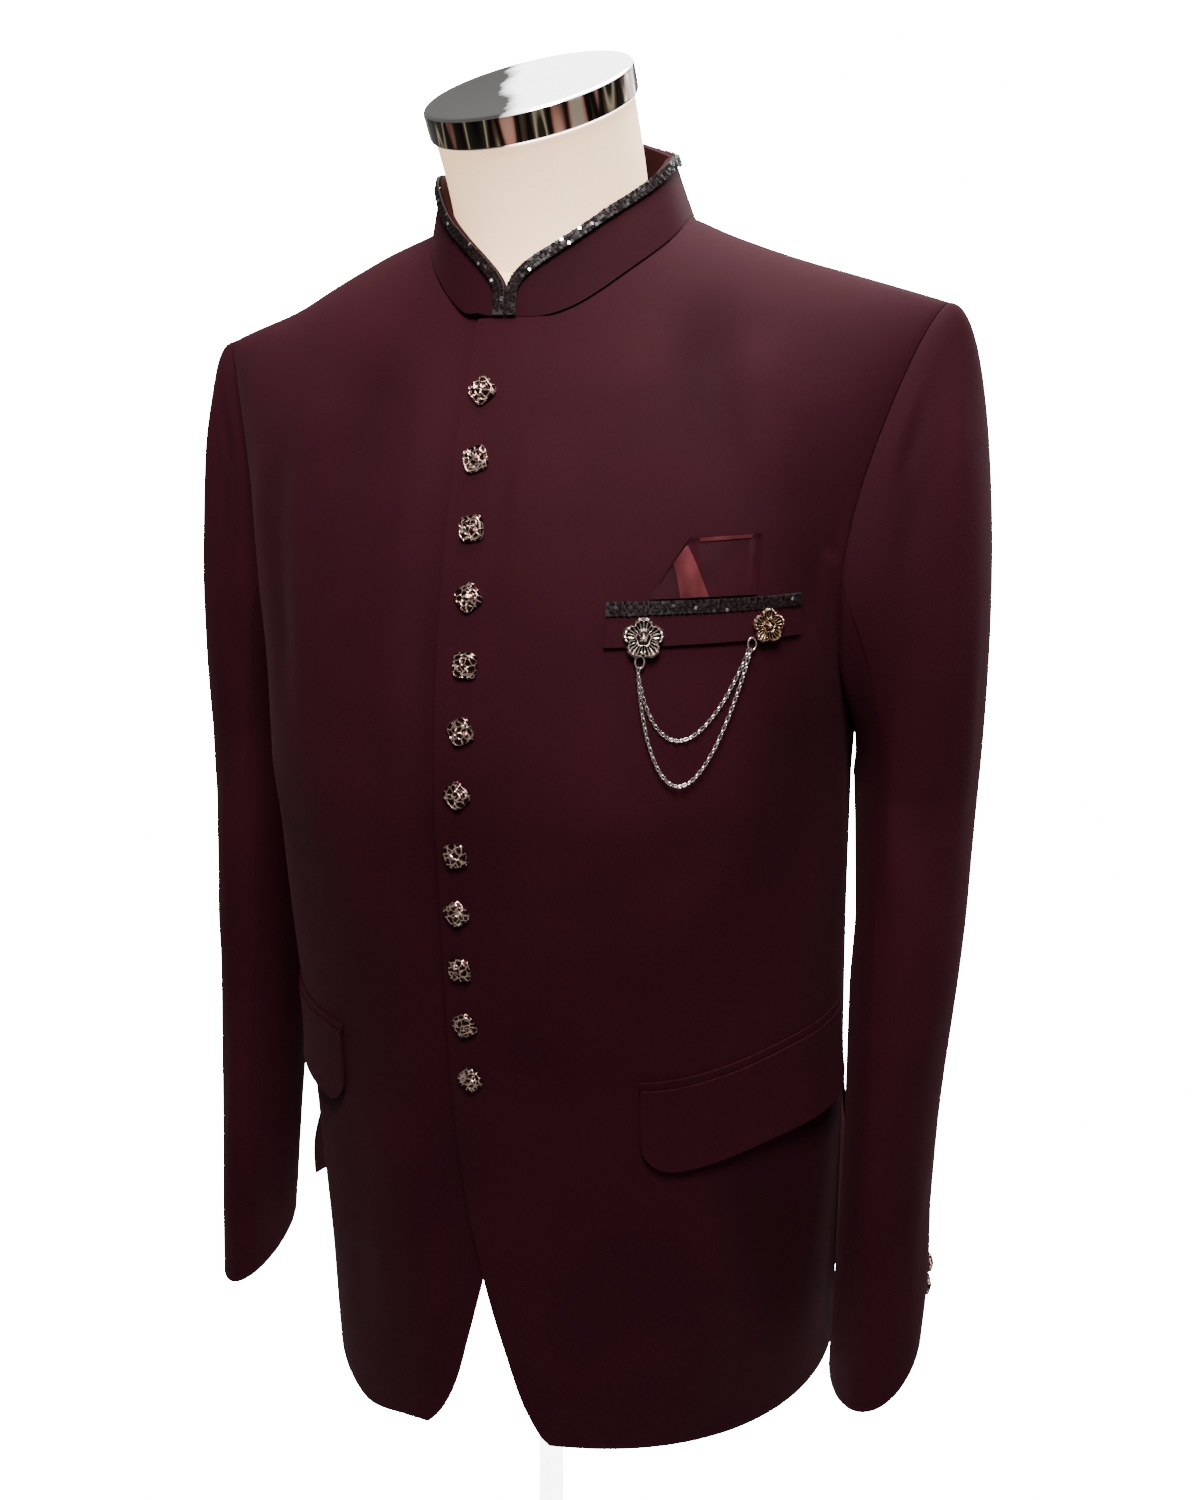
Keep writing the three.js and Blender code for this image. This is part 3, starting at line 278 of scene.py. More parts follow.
def neck_place(side, turn):
    """The neck seam: turn 0 at the front middle, 90 at the shoulder, 180 at the back middle."""
    turn = np.asarray(turn, float)
    word = word_of(side)
    cos, sin = np.cos(np.radians(turn)), np.maximum(np.sin(np.radians(turn)), 0)
    bend = NECK["round_" + word]
    swell = NECK_SWELL[word] * np.exp(-(((turn - NECK_SWELL["turn"]) / NECK_SWELL["wide"]) ** 2))
    x = (NECK[word] + swell) * sin**bend
    before = turn <= 90
    depth = np.where(before, SHOULDER["y"] - NECK["front"], NECK["back"] - SHOULDER["y"])
    y = SHOULDER["y"] - depth * np.sign(cos) * np.abs(cos) ** bend
    girth = np.where(before, 0.1, 1.9)
    rise = np.full(turn.shape, np.radians(70))
    for _ in range(40):
        reach = section(side, girth, CHEST)[1]
        puff = 1 + read(GIRTH, "full", "h", CHEST) * np.sin(np.radians(girth * 180)) ** 2
        girth = np.arcsin(np.minimum(x / yoke_reach(reach, rise) / puff, 1)) / np.radians(90)
        girth = np.where(before, girth, 2 - girth)
        level_y = section(side, girth, CHEST)[2]
        cosine = (y - SHOULDER["y"]) / (level_y - SHOULDER["y"]) / yoke_full(girth, rise)
        rise = mix(rise, np.arccos(np.clip(cosine, 0, 1)), 0.5)
    return girth, 1 + rise / np.radians(90)


def armhole_place(side, turn, front):
    """The armhole: turn 0 at the shoulder tip, 180 at the underarm."""
    girth = read(ARMHOLE, word_of(side), "down", turn / 180)
    rise = read(ARMHOLE, "rise", "down", turn / 180)
    return np.where(front, girth, 2 - girth), 1 + rise / 90


print("hem is", round(2 * float(section(1, 1.0, 0.0)[1]), 1), "mm across, twice the wearer's left half")

# %% [markdown]
# Soft folds. Worsted that is pressed over canvas has few creases, but it is never a plain oval: it dips
# below the collarbone, rolls before the armhole and swings a little over the hip. A cloth simulation would
# make these too, but a stiff tailored coat barely moves in one. So each dip is a named row: a
# line on the panel, how wide the dip is and how deep. Rows above zero stand out, rows below zero sink in.

# %% Folds as rows


def folds(rows, x, h):
    """Adds up soft troughs and ridges along lines, each fading out at its ends."""
    total = np.zeros(np.broadcast(x, h).shape)
    for i in range(len(rows["x0"])):
        x0, h0, x1, h1 = (rows[k][i] for k in ("x0", "h0", "x1", "h1"))
        length = math.hypot(x1 - x0, h1 - h0)
        along = ((x - x0) * (x1 - x0) + (h - h0) * (h1 - h0)) / length
        bow = rows["bow"][i] * np.sin(np.pi * np.clip(along / length, 0, 1))
        aside = ((x - x0) * (h1 - h0) - (h - h0) * (x1 - x0)) / length - bow
        uneven = 1 + 0.25 * np.sin(along / 23 + i)
        ends = smooth(0, 0.35, along / length) * smooth(1, 0.6, along / length)
        total += rows["deep"][i] * uneven * ends * np.exp(-((aside / rows["wide"][i]) ** 2))
    return total


LEFT_FOLDS = table(
    "x0 h0 x1 h1 wide deep bow",
    (99, 680, 138, 545, 15, -2.6, 4),
    (66, 660, 100, 540, 26, 1.1, 6),
    (128, 655, 156, 560, 14, 1.3, 5),
    (158, 620, 168, 470, 12, -1.7, -6),
    (60, 470, 120, 380, 34, 1.1, 10),
    (168, 490, 146, 310, 15, -2.3, -5),
    (130, 400, 112, 260, 20, 1.0, 10),
    (40, 300, 130, 210, 24, 0.9, -10),
    (70, 200, 60, 20, 26, -1.1, 8),
    (148, 245, 182, 10, 17, -2.4, 4),
    (118, 190, 146, 5, 16, 1.2, -6),
    (20, 130, 60, 15, 12, 0.7, 5),
    (184, 490, 186, 310, 8, 0.9, 1),
    (30, 610, 40, 470, 26, 0.9, 6),
)
RIGHT_FOLDS = table(
    "x0 h0 x1 h1 wide deep bow",
    (80, 655, 96, 540, 20, -1.5, 8),
    (118, 640, 140, 520, 22, 1.0, 10),
    (144, 610, 120, 410, 14, -2.2, -6),
    (168, 590, 170, 450, 12, 1.0, -4),
    (24, 560, 30, 300, 10, -1.0, 3),
    (60, 450, 120, 330, 34, 1.2, 12),
    (150, 400, 110, 250, 24, -1.4, 12),
    (52, 230, 60, 20, 22, 1.0, -8),
    (95, 190, 100, 0, 18, -1.1, 6),
    (20, 150, 48, 10, 9, 0.8, 5),
)
BACK_FOLDS = table(
    "x0 h0 x1 h1 wide deep bow",
    (40, 600, 120, 520, 30, 1.4, 10),
    (150, 600, 158, 450, 14, -1.8, 6),
    (120, 430, 40, 330, 26, -1.5, 10),
    (110, 330, 60, 250, 22, -1.1, 8),
    (60, 250, 90, 60, 30, 1.2, -8),
    (120, 200, 130, 20, 20, -1.2, 6),
    (12, 420, 10, 180, 9, -0.9, 2),
)
BUTTON_ROW = {"reach": 26, "calm": 14}
FOLD_DEPTH = 1.5


def body_relief(side, place):
    """How far the cloth of the body stands out from its plain form, at points of the body."""
    x, y, h = place[..., 0], place[..., 1], place[..., 2]
    front = folds(LEFT_FOLDS if side > 0 else RIGHT_FOLDS, np.abs(x), h)
    back = folds(BACK_FOLDS, np.abs(x), h)
    calm = smooth(BUTTON_ROW["calm"], BUTTON_ROW["reach"], np.abs(x + 2))
    waver = 0.22 * np.sin(x / 31 + h / 47) * np.sin(h / 39 - x / 53 + side)
    return FOLD_DEPTH * np.where(y < 10, front, back) * mix(0.15, 1, calm) + waver * calm


# %% [markdown]
# A shell is one panel of cloth: a fine grid of points for the face that shows, the same grid moved in by
# the cloth's thickness, and a rim that joins them. Blender's Solidify modifier does much the same, but
# here the rim follows the cut exactly, and the faces stay in tidy rows. Each panel also gets a map in
# metres, so that its weave runs along the cloth.

# %% Build a shell


def grid_normals(grid, sign):
    across = np.gradient(grid, axis=1)
    along = np.gradient(grid, axis=0)
    return unit(np.cross(across, along)) * sign


def grid_map(grid):
    """Distances along the rows and up the columns, in metres."""
    u = np.zeros(grid.shape[:2])
    v = np.zeros(grid.shape[:2])
    u[:, 1:] = np.cumsum(np.linalg.norm(np.diff(grid, axis=1), axis=-1), axis=1)
    v[1:, :] = np.cumsum(np.linalg.norm(np.diff(grid, axis=0), axis=-1), axis=0)
    return np.stack([u, v], axis=-1) / 1000


def shell_faces(rows, cols):
    at = np.arange(2 * rows * cols).reshape(2, rows, cols)
    o, n = at[0], at[1]

    def quads(a, b, c, d):
        return np.stack([a.ravel(), b.ravel(), c.ravel(), d.ravel()], axis=1)

    return np.concatenate(
        [
            quads(o[:-1, :-1], o[:-1, 1:], o[1:, 1:], o[1:, :-1]),
            quads(n[:-1, :-1], n[1:, :-1], n[1:, 1:], n[:-1, 1:]),
            quads(o[0, :-1], n[0, :-1], n[0, 1:], o[0, 1:]),
            quads(o[-1, :-1], o[-1, 1:], n[-1, 1:], n[-1, :-1]),
            quads(o[:-1, 0], o[1:, 0], n[1:, 0], n[:-1, 0]),
            quads(o[:-1, -1], n[:-1, -1], n[1:, -1], o[1:, -1]),
        ]
    )


def mesh_object(name, places, faces, material, sharp=40, uv=None):
    """An object from points in millimetres, at its place in the scene."""
    scaled = (np.asarray(places, float) + [0, 0, HEM_ABOVE_FLOOR]) / 1000
    mesh = bpy.data.meshes.new(name)
    mesh.from_pydata(scaled.tolist(), [], [list(map(int, f)) for f in faces])
    if uv is not None:
        layer = mesh.uv_layers.new(name="cloth")
        corners = np.zeros(len(mesh.loops), int)
        mesh.loops.foreach_get("vertex_index", corners)
        layer.data.foreach_set("uv", uv[corners].ravel())
    mesh.materials.append(material)
    mesh.shade_smooth()
    mesh.set_sharp_from_angle(angle=math.radians(sharp))
    obj = bpy.data.objects.new(name, mesh)
    scene.collection.objects.link(obj)
    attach(obj, "root")
    return obj


def outward(obj):
    """Turns all faces of a closed mesh outward."""
    work = bmesh.new()
    work.from_mesh(obj.data)
    bmesh.ops.recalc_face_normals(work, faces=work.faces)
    work.to_mesh(obj.data)
    work.free()
    return obj


def shell(name, grid, sign, thick, material, lift=0.0, relief=None, keep=None):
    normals = grid_normals(grid, sign)
    outer = grid + normals * (lift + thick)
    if relief is not None:
        outer = outer + normals * relief[..., None]
    inner = outer - normals * thick
    if keep is not None:
        outer, inner = keep(outer), keep(inner)
    rows, cols = grid.shape[:2]
    places = np.concatenate([outer.reshape(-1, 3), inner.reshape(-1, 3)])
    uv = np.tile(grid_map(grid).reshape(-1, 2), (2, 1))
    obj = outward(mesh_object(name, places, shell_faces(rows, cols), material, 50, uv))
    if relief is not None:
        # The relief is kept on the mesh, where the worsted uses it to paint shade into fold troughs and light
        # onto fold ridges.
        layer = obj.data.attributes.new("fold", "FLOAT", "POINT")
        layer.data.foreach_set("value", np.tile(np.broadcast_to(relief, grid.shape[:2]).ravel(), 2))
    return obj


def square(cols, rows):
    """The two coordinates of a panel's grid, each from 0 to 1."""
    return np.meshgrid(np.linspace(0, 1, cols + 1), np.linspace(0, 1, rows + 1))


def edge_fade(a, b, wide=0.05):
    """1 inside a panel and 0 at its seams, so that neighbours still meet."""
    return smooth(0, wide, a) * smooth(1, 1 - wide, a) * smooth(1, 1 - wide, b)


# %% [markdown]
# Materials. Worsted is matte with a faint sheen where light grazes it, and its colour is a little
# uneven. It could be one flat colour with a rough surface, but then folds look like plastic. So there are
# four layers: a slow change of tone, painted shade that darkens the troughs of the folds and lightens
# their ridges, a very fine twill from the panel's own map, and a fine fuzz in the bump.

# %% Node helper


def new_material(name, color, rough, metal=0.0):
    material = bpy.data.materials.new(name)
    material.use_nodes = True
    nodes, links = material.node_tree.nodes, material.node_tree.links
    shader = nodes["Principled BSDF"]
    shader.inputs["Base Color"].default_value = (*color, 1)
    shader.inputs["Roughness"].default_value = rough
    shader.inputs["Metallic"].default_value = metal
    return material, nodes, links, shader


def noise(nodes, links, scale, detail=3.0, source="Object"):
    where = nodes.new("ShaderNodeTexCoord")
    made = nodes.new("ShaderNodeTexNoise")
    made.inputs["Scale"].default_value = scale
    made.inputs["Detail"].default_value = detail
    links.new(where.outputs[source], made.inputs["Vector"])
    return made


def tones(nodes, links, source, dark, light, low=0.35, high=0.65):
    ramp = nodes.new("ShaderNodeValToRGB")
    ramp.color_ramp.elements[0].position = low
    ramp.color_ramp.elements[0].color = (*dark, 1)
    ramp.color_ramp.elements[1].position = high
    ramp.color_ramp.elements[1].color = (*light, 1)
    links.new(source, ramp.inputs["Fac"])
    return ramp.outputs["Color"]


def bump(nodes, links, shader, heights, strength, distance):
    made = nodes.new("ShaderNodeBump")
    made.inputs["Strength"].default_value = strength
    made.inputs["Distance"].default_value = distance
    links.new(heights, made.inputs["Height"])
    links.new(made.outputs["Normal"], shader.inputs["Normal"])
    return made


# %% Worsted


def worsted(name, dark, light):
    material, nodes, links, shader = new_material(name, light, 0.78)
    slow = noise(nodes, links, 9, 2)
    # Painted shade: the base colour is scaled down in the troughs of the folds and up on their ridges, from
    # the relief kept on each shell.
    fold = nodes.new("ShaderNodeAttribute")
    fold.attribute_name = "fold"
    shade = nodes.new("ShaderNodeMapRange")
    for key, value in (("From Min", -4), ("From Max", 4), ("To Min", 0.8), ("To Max", 1.2)):
        shade.inputs[key].default_value = value
    links.new(fold.outputs["Fac"], shade.inputs["Value"])
    painted_fold_shade = nodes.new("ShaderNodeVectorMath")
    painted_fold_shade.operation = "SCALE"
    links.new(tones(nodes, links, slow.outputs["Fac"], dark, light), painted_fold_shade.inputs[0])
    links.new(shade.outputs["Result"], painted_fold_shade.inputs["Scale"])
    links.new(painted_fold_shade.outputs["Vector"], shader.inputs["Base Color"])
    twill = nodes.new("ShaderNodeTexWave")
    twill.wave_type = "BANDS"
    twill.bands_direction = "DIAGONAL"
    twill.inputs["Scale"].default_value = 700
    twill.inputs["Distortion"].default_value = 1.2
    where = nodes.new("ShaderNodeTexCoord")
    links.new(where.outputs["UV"], twill.inputs["Vector"])
    fuzz = noise(nodes, links, 1500, 2)
    both = nodes.new("ShaderNodeMath")
    both.operation = "MULTIPLY_ADD"
    both.inputs[1].default_value = 0.3
    links.new(twill.outputs["Fac"], both.inputs[0])
    links.new(fuzz.outputs["Fac"], both.inputs[2])
    bump(nodes, links, shader, both.outputs["Value"], 0.3, 0.0003)
    shader.inputs["Sheen Weight"].default_value = 0.035
    shader.inputs["Sheen Roughness"].default_value = 0.45
    shader.inputs["Sheen Tint"].default_value = (0.8, 0.3, 0.38, 1)
    shader.inputs["Specular IOR Level"].default_value = 0.07
    return material


SUITING = worsted("suiting", (0.0185, 0.0020, 0.0048), (0.0240, 0.0028, 0.0063))
# The same worsted a little darker, as painted shade: it goes on the under sleeves, the collar, the jets and
# the seam strips, which lie in shadow.
SUITING_PAINTED_SHADE = worsted("suiting_shade", (0.0165, 0.0018, 0.0043), (0.0215, 0.0025, 0.0057))
print("cloth materials:", SUITING.name, SUITING_PAINTED_SHADE.name)

# %% [markdown]
# The fronts and the back. A tailor cuts each as one panel: from the front edge or the middle seam to the
# side seam, with the armhole and the neck cut out of its top corners. The left front laps over the right,
# so the right one lies deeper near the middle. Both lower front corners are rounded.

# %% Panel edges
SEAM_GIRTH = SEAM_GAP / 2 / 270
CHEST_SPLIT = 1 + 9.5 / 90
LOWER_SHARE = 0.52
NECK_SHARE = 0.3
UNDERLAP = 4.4
RIGHT_DROP = {"edge": 9, "middle": 19}
VENT = {"top": 235, "left": 20, "right": 52, "hem_rise": 28}


def lower_up(b):
    return CHEST_SPLIT * (b / LOWER_SHARE) ** 1.5


def front_edge(side, rows, b):
    neck_up = float(neck_place(side, 0.0)[1])
    start = 1 - NECK_SHARE
    up = np.where(
        b < LOWER_SHARE,
        lower_up(np.minimum(b, LOWER_SHARE)),
        mix(CHEST_SPLIT, neck_up, (np.minimum(b, start) - LOWER_SHARE) / (start - LOWER_SHARE)),
    )
    h = body_point(side, 0.0, up)[..., 2]
    girth = girth_at(side, read(rows, "x", "h", h) * side, up)
    share = np.clip((b - start) / NECK_SHARE, 0, 1)
    lap_girth, lap_up = neck_place(side, 90 * share)
    corner = girth_at(side, float(rows["x"][-1]) * side, neck_up)
    above = b > start
    girth = np.where(above, mix(corner, lap_girth, np.minimum(share * 6, 1)), girth)
    return girth, np.where(above, lap_up, up)


def outer_edge(side, b, front):
    up = lower_up(np.minimum(b, LOWER_SHARE))
    seam = mix(1, 1.04, smooth(1.1, 0.72, up))
    turn = mix(180, 0, (b - LOWER_SHARE) / (1 - LOWER_SHARE))
    arm_girth, arm_up = armhole_place(side, np.clip(turn, 0, 180), front)
    below = b < LOWER_SHARE
    return np.where(below, seam, arm_girth), np.where(below, up, arm_up)


# %% Front panels


def front_grid(side, rows, cols=110, tall=190):
    a, b = square(cols, tall)
    line = b[:, 0]
    inner_girth, inner_up = front_edge(side, rows, line)
    outer_girth, outer_up = outer_edge(side, line, True)
    girth = mix(inner_girth[:, None], outer_girth[:, None] - SEAM_GIRTH, a)
    up = mix(inner_up[:, None], outer_up[:, None], a)
    place = body_point(side, girth, up)
    relief = body_relief(side, place) * edge_fade(a + 0.05 * (b < 0.7), b)
    if side < 0:
        under = UNDERLAP * (1 - smooth(17, 48, -place[..., 0]))
        place = place - body_normal(side, girth, up) * under[..., None]
        dip = RIGHT_DROP["edge"] + RIGHT_DROP["middle"] * smooth(0, 0.3, a) * smooth(1.25, 0.7, a)
        place[..., 2] -= dip * smooth(60, 0, place[..., 2])
    return place, relief


def before_seam(place):
    upper = place[..., 2] > CHEST + 200
    limit = np.minimum(place[..., 1], SHOULDER["y"] - SEAM_GAP / 2)
    place[..., 1] = np.where(upper, limit, place[..., 1])
    return place


def behind_seam(place):
    upper = place[..., 2] > CHEST + 200
    limit = np.maximum(place[..., 1], SHOULDER["y"] + SEAM_GAP / 2)
    place[..., 1] = np.where(upper, limit, place[..., 1])
    return place


made = {}
for word, side, rows in (("left", 1, LEFT_EDGE), ("right", -1, RIGHT_EDGE)):
    grid, relief = front_grid(side, rows)
    panel = shell(
        "cloth_front_" + word, grid, side, BODY_CLOTH, SUITING, -BODY_CLOTH, relief, before_seam
    )
    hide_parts("front_" + word)
    made["front_" + word] = panel
print("fronts:", [len(p.data.polygons) for p in made.values()], "faces")

# %% Back panels


def back_grid(side, cols=90, tall=170):
    a, b = square(cols, tall)
    line = b[:, 0]
    start = 1 - NECK_SHARE * 0.6
    neck_up = float(neck_place(side, 180.0)[1])
    share = np.clip((line - start) / (1 - start), 0, 1)
    lap_girth, lap_up = neck_place(side, 180 - 89.99 * share)
    up_line = np.where(
        line < LOWER_SHARE,
        lower_up(np.minimum(line, LOWER_SHARE)),
        mix(CHEST_SPLIT, neck_up, (np.minimum(line, start) - LOWER_SHARE) / (start - LOWER_SHARE)),
    )
    above = line > start
    inner_girth = np.where(above, lap_girth, 2.0)
    inner_up = np.where(above, lap_up, up_line)
    outer_girth, outer_up = outer_edge(side, line, False)
    girth = mix(inner_girth[:, None] - SEAM_GIRTH, outer_girth[:, None] + SEAM_GIRTH, a)
    up = mix(inner_up[:, None], outer_up[:, None], a)
    place = body_point(side, girth, up)
    relief = body_relief(side, place) * edge_fade(a, b)
    opening = smooth(VENT["top"], 0, place[..., 2]) * smooth(0.25, 1, a)
    flare = VENT[word_of(side)]
    place[..., 0] += side * flare * opening
    place[..., 1] += flare * 0.05 * opening
    place[..., 2] += VENT["hem_rise"] * smooth(120, 0, place[..., 2])
    return place, relief


for word, side in (("left", 1), ("right", -1)):
    grid, relief = back_grid(side)
    panel = shell(
        "cloth_back_" + word, grid, -side, BODY_CLOTH, SUITING, -BODY_CLOTH, relief, behind_seam
    )
    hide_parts("back_" + word)
    made["back_" + word] = panel
print("backs made")

# %% [markdown]
# The sleeves. A tailored sleeve has two pieces, a top one and a narrower under one, with seams in front
# and behind. It leaves the armhole nearly level, turns down over the arm and swings forward to the cuff. Its
# surface is worked out from level sections below, and from a curve that leaves the armhole above.

# %% The sleeve's surface
HEAD_SHARE = 0.42
SLEEVE_HEAD = {"left": 146, "right": 164}
CUFF_SLANT = {"back": 0.6, "left": 0.42}
CUFF_LIFT = {"left": 17, "right": -20}
RIGHT_SLEEVE = {"in": 3.5, "slim": 0.12}
LEFT_SLEEVE_SLIM = 2.7


def sleeve_section(side, turn, h):
    low = 0.0 if side > 0 else smooth(430, 200, h)
    slim = 1 - RIGHT_SLEEVE["slim"] * low
    pinch = LEFT_SLEEVE_SLIM * smooth(340, 190, h) * (1 - 0.6 * smooth(130, 50, h)) * (side > 0)
    x = read(SLEEVE, "x", "h", h) - RIGHT_SLEEVE["in"] * low - pinch
    half = read(SLEEVE, "half", "h", h) * slim - pinch
    deep = read(SLEEVE, "deep", "h", h) * slim
    y = read(SLEEVE, "y", "h", h)
    return points(side * (x + half * np.cos(turn)), y - deep * np.sin(turn), h)


def sleeve_point(side, around, down):
    """around runs 0 on top, 90 in front, 180 underneath and 270 behind; down runs 0 to 1."""
    around = np.mod(around, 360)
    turn = np.radians(around)
    over = (1 + np.cos(turn)) / 2
    front = around <= 180
    cuff_h, top_h = SLEEVE["h"][0], SLEEVE["h"][-1]
    share = np.clip((down - HEAD_SHARE) / (1 - HEAD_SHARE), 0, 1)
    lower = sleeve_section(side, turn, mix(top_h, cuff_h, share))
    slant = CUFF_SLANT["back"] * (lower[..., 1] - SLEEVE["y"][0])
    slant = slant + CUFF_SLANT["left"] * (lower[..., 0] - side * SLEEVE["x"][0])
    lift = CUFF_LIFT[word_of(side)]
    lower[..., 2] += smooth(0.7, 1, down) * (slant + lift)
    girth, up = armhole_place(side, np.where(front, around, 360 - around), front)
    start = body_point(side, girth, up)
    start[..., 0] += side * (0.4 + 0.5 * (1 - over))
    end = sleeve_section(side, turn, np.full(turn.shape, top_h))
    fall = 4 * over * (1 - over)
    leave = points(
        side * (2.5 + 20 * over),
        -6 * np.sin(turn),
        -25 * fall - 10 * (1 - over) ** 2 - 2 * over,
    )
    head = SLEEVE_HEAD[word_of(side)]
    arrive = points(0, -4 * np.sin(turn), 14 * (1 - over) ** 2 + 60 * fall + head * over**2)
    t = np.clip(down / HEAD_SHARE, 0, 1)[..., None]
    s = 1 - t
    upper = (
        start * (s**3 + 3 * s * s * t)
        + leave * (3 * s * s * t)
        + end * (3 * s * t * t + t**3)
        + arrive * (3 * s * t * t)
    )
    return np.where((down >= HEAD_SHARE)[..., None], lower, upper)


# %% Sleeve folds and pieces
SLEEVE_FOLDS = table(
    "x0 h0 x1 h1 wide deep bow",
    (30, 60, 38, 330, 13, 1.5, 4),
    (62, 70, 100, 230, 13, -1.7, 6),
    (84, 250, 40, 330, 14, -1.2, 6),
    (20, 330, 70, 420, 16, 1.0, -5),
    (112, 190, 96, 330, 12, 1.2, 5),
    (70, 430, 44, 580, 14, -1.1, 6),
    (32, 40, 62, 250, 10, 1.9, 3),
    (56, 30, 80, 130, 11, -1.9, 3),
    (176, 110, 184, 330, 26, 2.8, 2),
    (120, 400, 104, 560, 13, 0.9, -6),
    (250, 260, 300, 380, 18, -1.3, 8),
    (200, 300, 160, 380, 16, -1.4, -8),
    (290, 420, 262, 580, 16, 1.0, 6),
    (320, 80, 332, 260, 14, -1.0, 4),
    (10, 470, 24, 600, 14, -0.8, 4),
)
SLEEVE_LONG = 620
SLEEVE_SEAM = {"front": 118, "head": 284, "cuff": 318}


def sleeve_relief(side, around, down, a, b):
    """Folds in a map of the sleeve: degrees round against millimetres down."""
    around = np.mod(around, 360)
    made_of = folds(SLEEVE_FOLDS, around, down * SLEEVE_LONG)
    made_of = made_of * smooth(0, 9, around) * smooth(360, 351, around)
    waver = 0.3 * np.sin(down * 21 + np.radians(around) * 2 + side)
    return (made_of + waver) * smooth(0, 0.07, b) * smooth(0, 0.06, a) * smooth(1, 0.94, a)


def sleeve_piece(name, side, start, end, cols, tall=190):
    a, b = square(cols, tall)
    around = mix(start(b) + 0.17, end(b) - 0.17, a)
    grid = sleeve_point(side, around, b)
    relief = sleeve_relief(side, around, b, a, b)
    # The under piece takes the darker worsted: painted shade on the underside of the arm.
    material = SUITING if "top" in name else SUITING_PAINTED_SHADE
    piece = shell("cloth_" + name, grid, side, SLEEVE_CLOTH, material, -SLEEVE_CLOTH, relief)
    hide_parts(name)
    made[name] = piece


def front_seam(b):
    return np.full(b.shape, float(SLEEVE_SEAM["front"]))


def back_seam(b):
    return mix(SLEEVE_SEAM["head"], SLEEVE_SEAM["cuff"], b)


for word, side in (("left", 1), ("right", -1)):
    sleeve_piece("sleeve_top_" + word, side, lambda b: back_seam(b) - 360, front_seam, 100)
    sleeve_piece("sleeve_under_" + word, side, front_seam, back_seam, 80)
print("sleeve pieces made:", [n for n in made if "sleeve" in n])

# %% [markdown]
# The stand collar. It is a stiffened band that is sewn round the neck and meets at the front in a
# V with rounded corners. A curve swept round the neck would slip at the corners, so the band is laid
# out flat first, as a pattern maker does: so far along the neck seam, and so high. Then it is stood up
# on the seam.

# %% The collar's surface
COLLAR = {"end": 12, "corner": 44, "round": 0.85, "lift": 1.3}
COLLAR_LEAN = {"middle": 0.18, "left": 0.22, "right": 0.0}
COLLAR_TOP = table(
    "share left right",
    (0, 38.5, 36),
    (0.21, 38.5, 36),
    (0.32, 36, 36),
    (0.42, 34.5, 33),
    (0.51, 33, 30),
    (0.59, 34, 30),
    (0.65, 37, 33),
    (0.72, 42.5, 40),
    (0.86, 55.5, 54),
    (0.93, 60, 59.5),
    (1, 61.5, 61.5),
)


def neck_lengths(side):
    turns = np.linspace(0, 180, 73)
    line = body_point(side, *neck_place(side, turns))
    steps = np.linalg.norm(np.diff(line, axis=0), axis=1)
    return {"turn": turns, "along": np.concatenate([[0], np.cumsum(steps)])}


NECK_LINE = {1: neck_lengths(1), -1: neck_lengths(-1)}


def collar_face(side, along, high):
    turn = read(NECK_LINE[side], "turn", "along", np.maximum(along, 0.35))
    base = body_point(side, *neck_place(side, turn))
    lean = COLLAR_LEAN["middle"] + COLLAR_LEAN[word_of(side)] * np.sin(np.radians(turn))
    up = points(-side * np.sin(np.radians(turn)) * lean, np.cos(np.radians(turn)) * lean, 1)
    return base + unit(up) * (high + COLLAR["lift"])[..., None]


def collar_outline(side, share, inset):
    """Up the collar's front end, round its corner and along its top."""
    length = NECK_LINE[side]["along"][-1]
    rise = COLLAR_TOP[word_of(side)][0] - COLLAR["end"]
    angle = np.radians(np.clip((share - 0.06) / 0.3, 0, 1) * 90)
    curve_along = COLLAR["corner"] * (1 - np.cos(angle))
    curve_high = COLLAR["end"] + rise * np.sin(angle) ** (1 / COLLAR["round"])
    inward = unit(np.stack([rise * np.cos(angle), -COLLAR["corner"] * np.sin(angle)], axis=-1))
    along = np.where(share < 0.06, inset, curve_along + inward[..., 0] * inset)
    high = np.where(share < 0.06, mix(0, COLLAR["end"], share / 0.06), curve_high + inward[..., 1] * inset)
    on_top = share > 0.36
    along = np.where(on_top, mix(COLLAR["corner"], length, (share - 0.36) / 0.64), along)
    top = read(COLLAR_TOP, word_of(side), "share", along / length)
    high = np.where(on_top, top - inset, high)
    return along, high


def both_halves(place, cols, rows):
    """One grid from the left front end round the back to the right front end."""
    a, b = square(cols // 2, rows)
    left = place(1, a, b)
    right = place(-1, a, b)[:, ::-1]
    return np.concatenate([left[:, :-1], right], axis=1)


def collar_place(side, share, b):
    along, high = collar_outline(side, mix(0.06, 1, share), 0.0)
    seam = np.abs(collar_face(side, along, 0 * along)[..., 0])
    tuck = 0.7 * UNDERLAP * (1 - smooth(17, 48, seam)) * smooth(15, 26, seam) * (side < 0)
    return collar_face(side, along, mix(-tuck, high, b))


grid = both_halves(collar_place, 320, 16)
wave = 0.25 * np.sin(np.linspace(0, 31, grid.shape[1])) * np.sin(np.linspace(0, 3, grid.shape[0]))[:, None]
# The collar takes the darker worsted: painted shade.
collar = shell("cloth_collar", grid, 1, COLLAR_CLOTH, SUITING_PAINTED_SHADE, -COLLAR_CLOTH, wave)
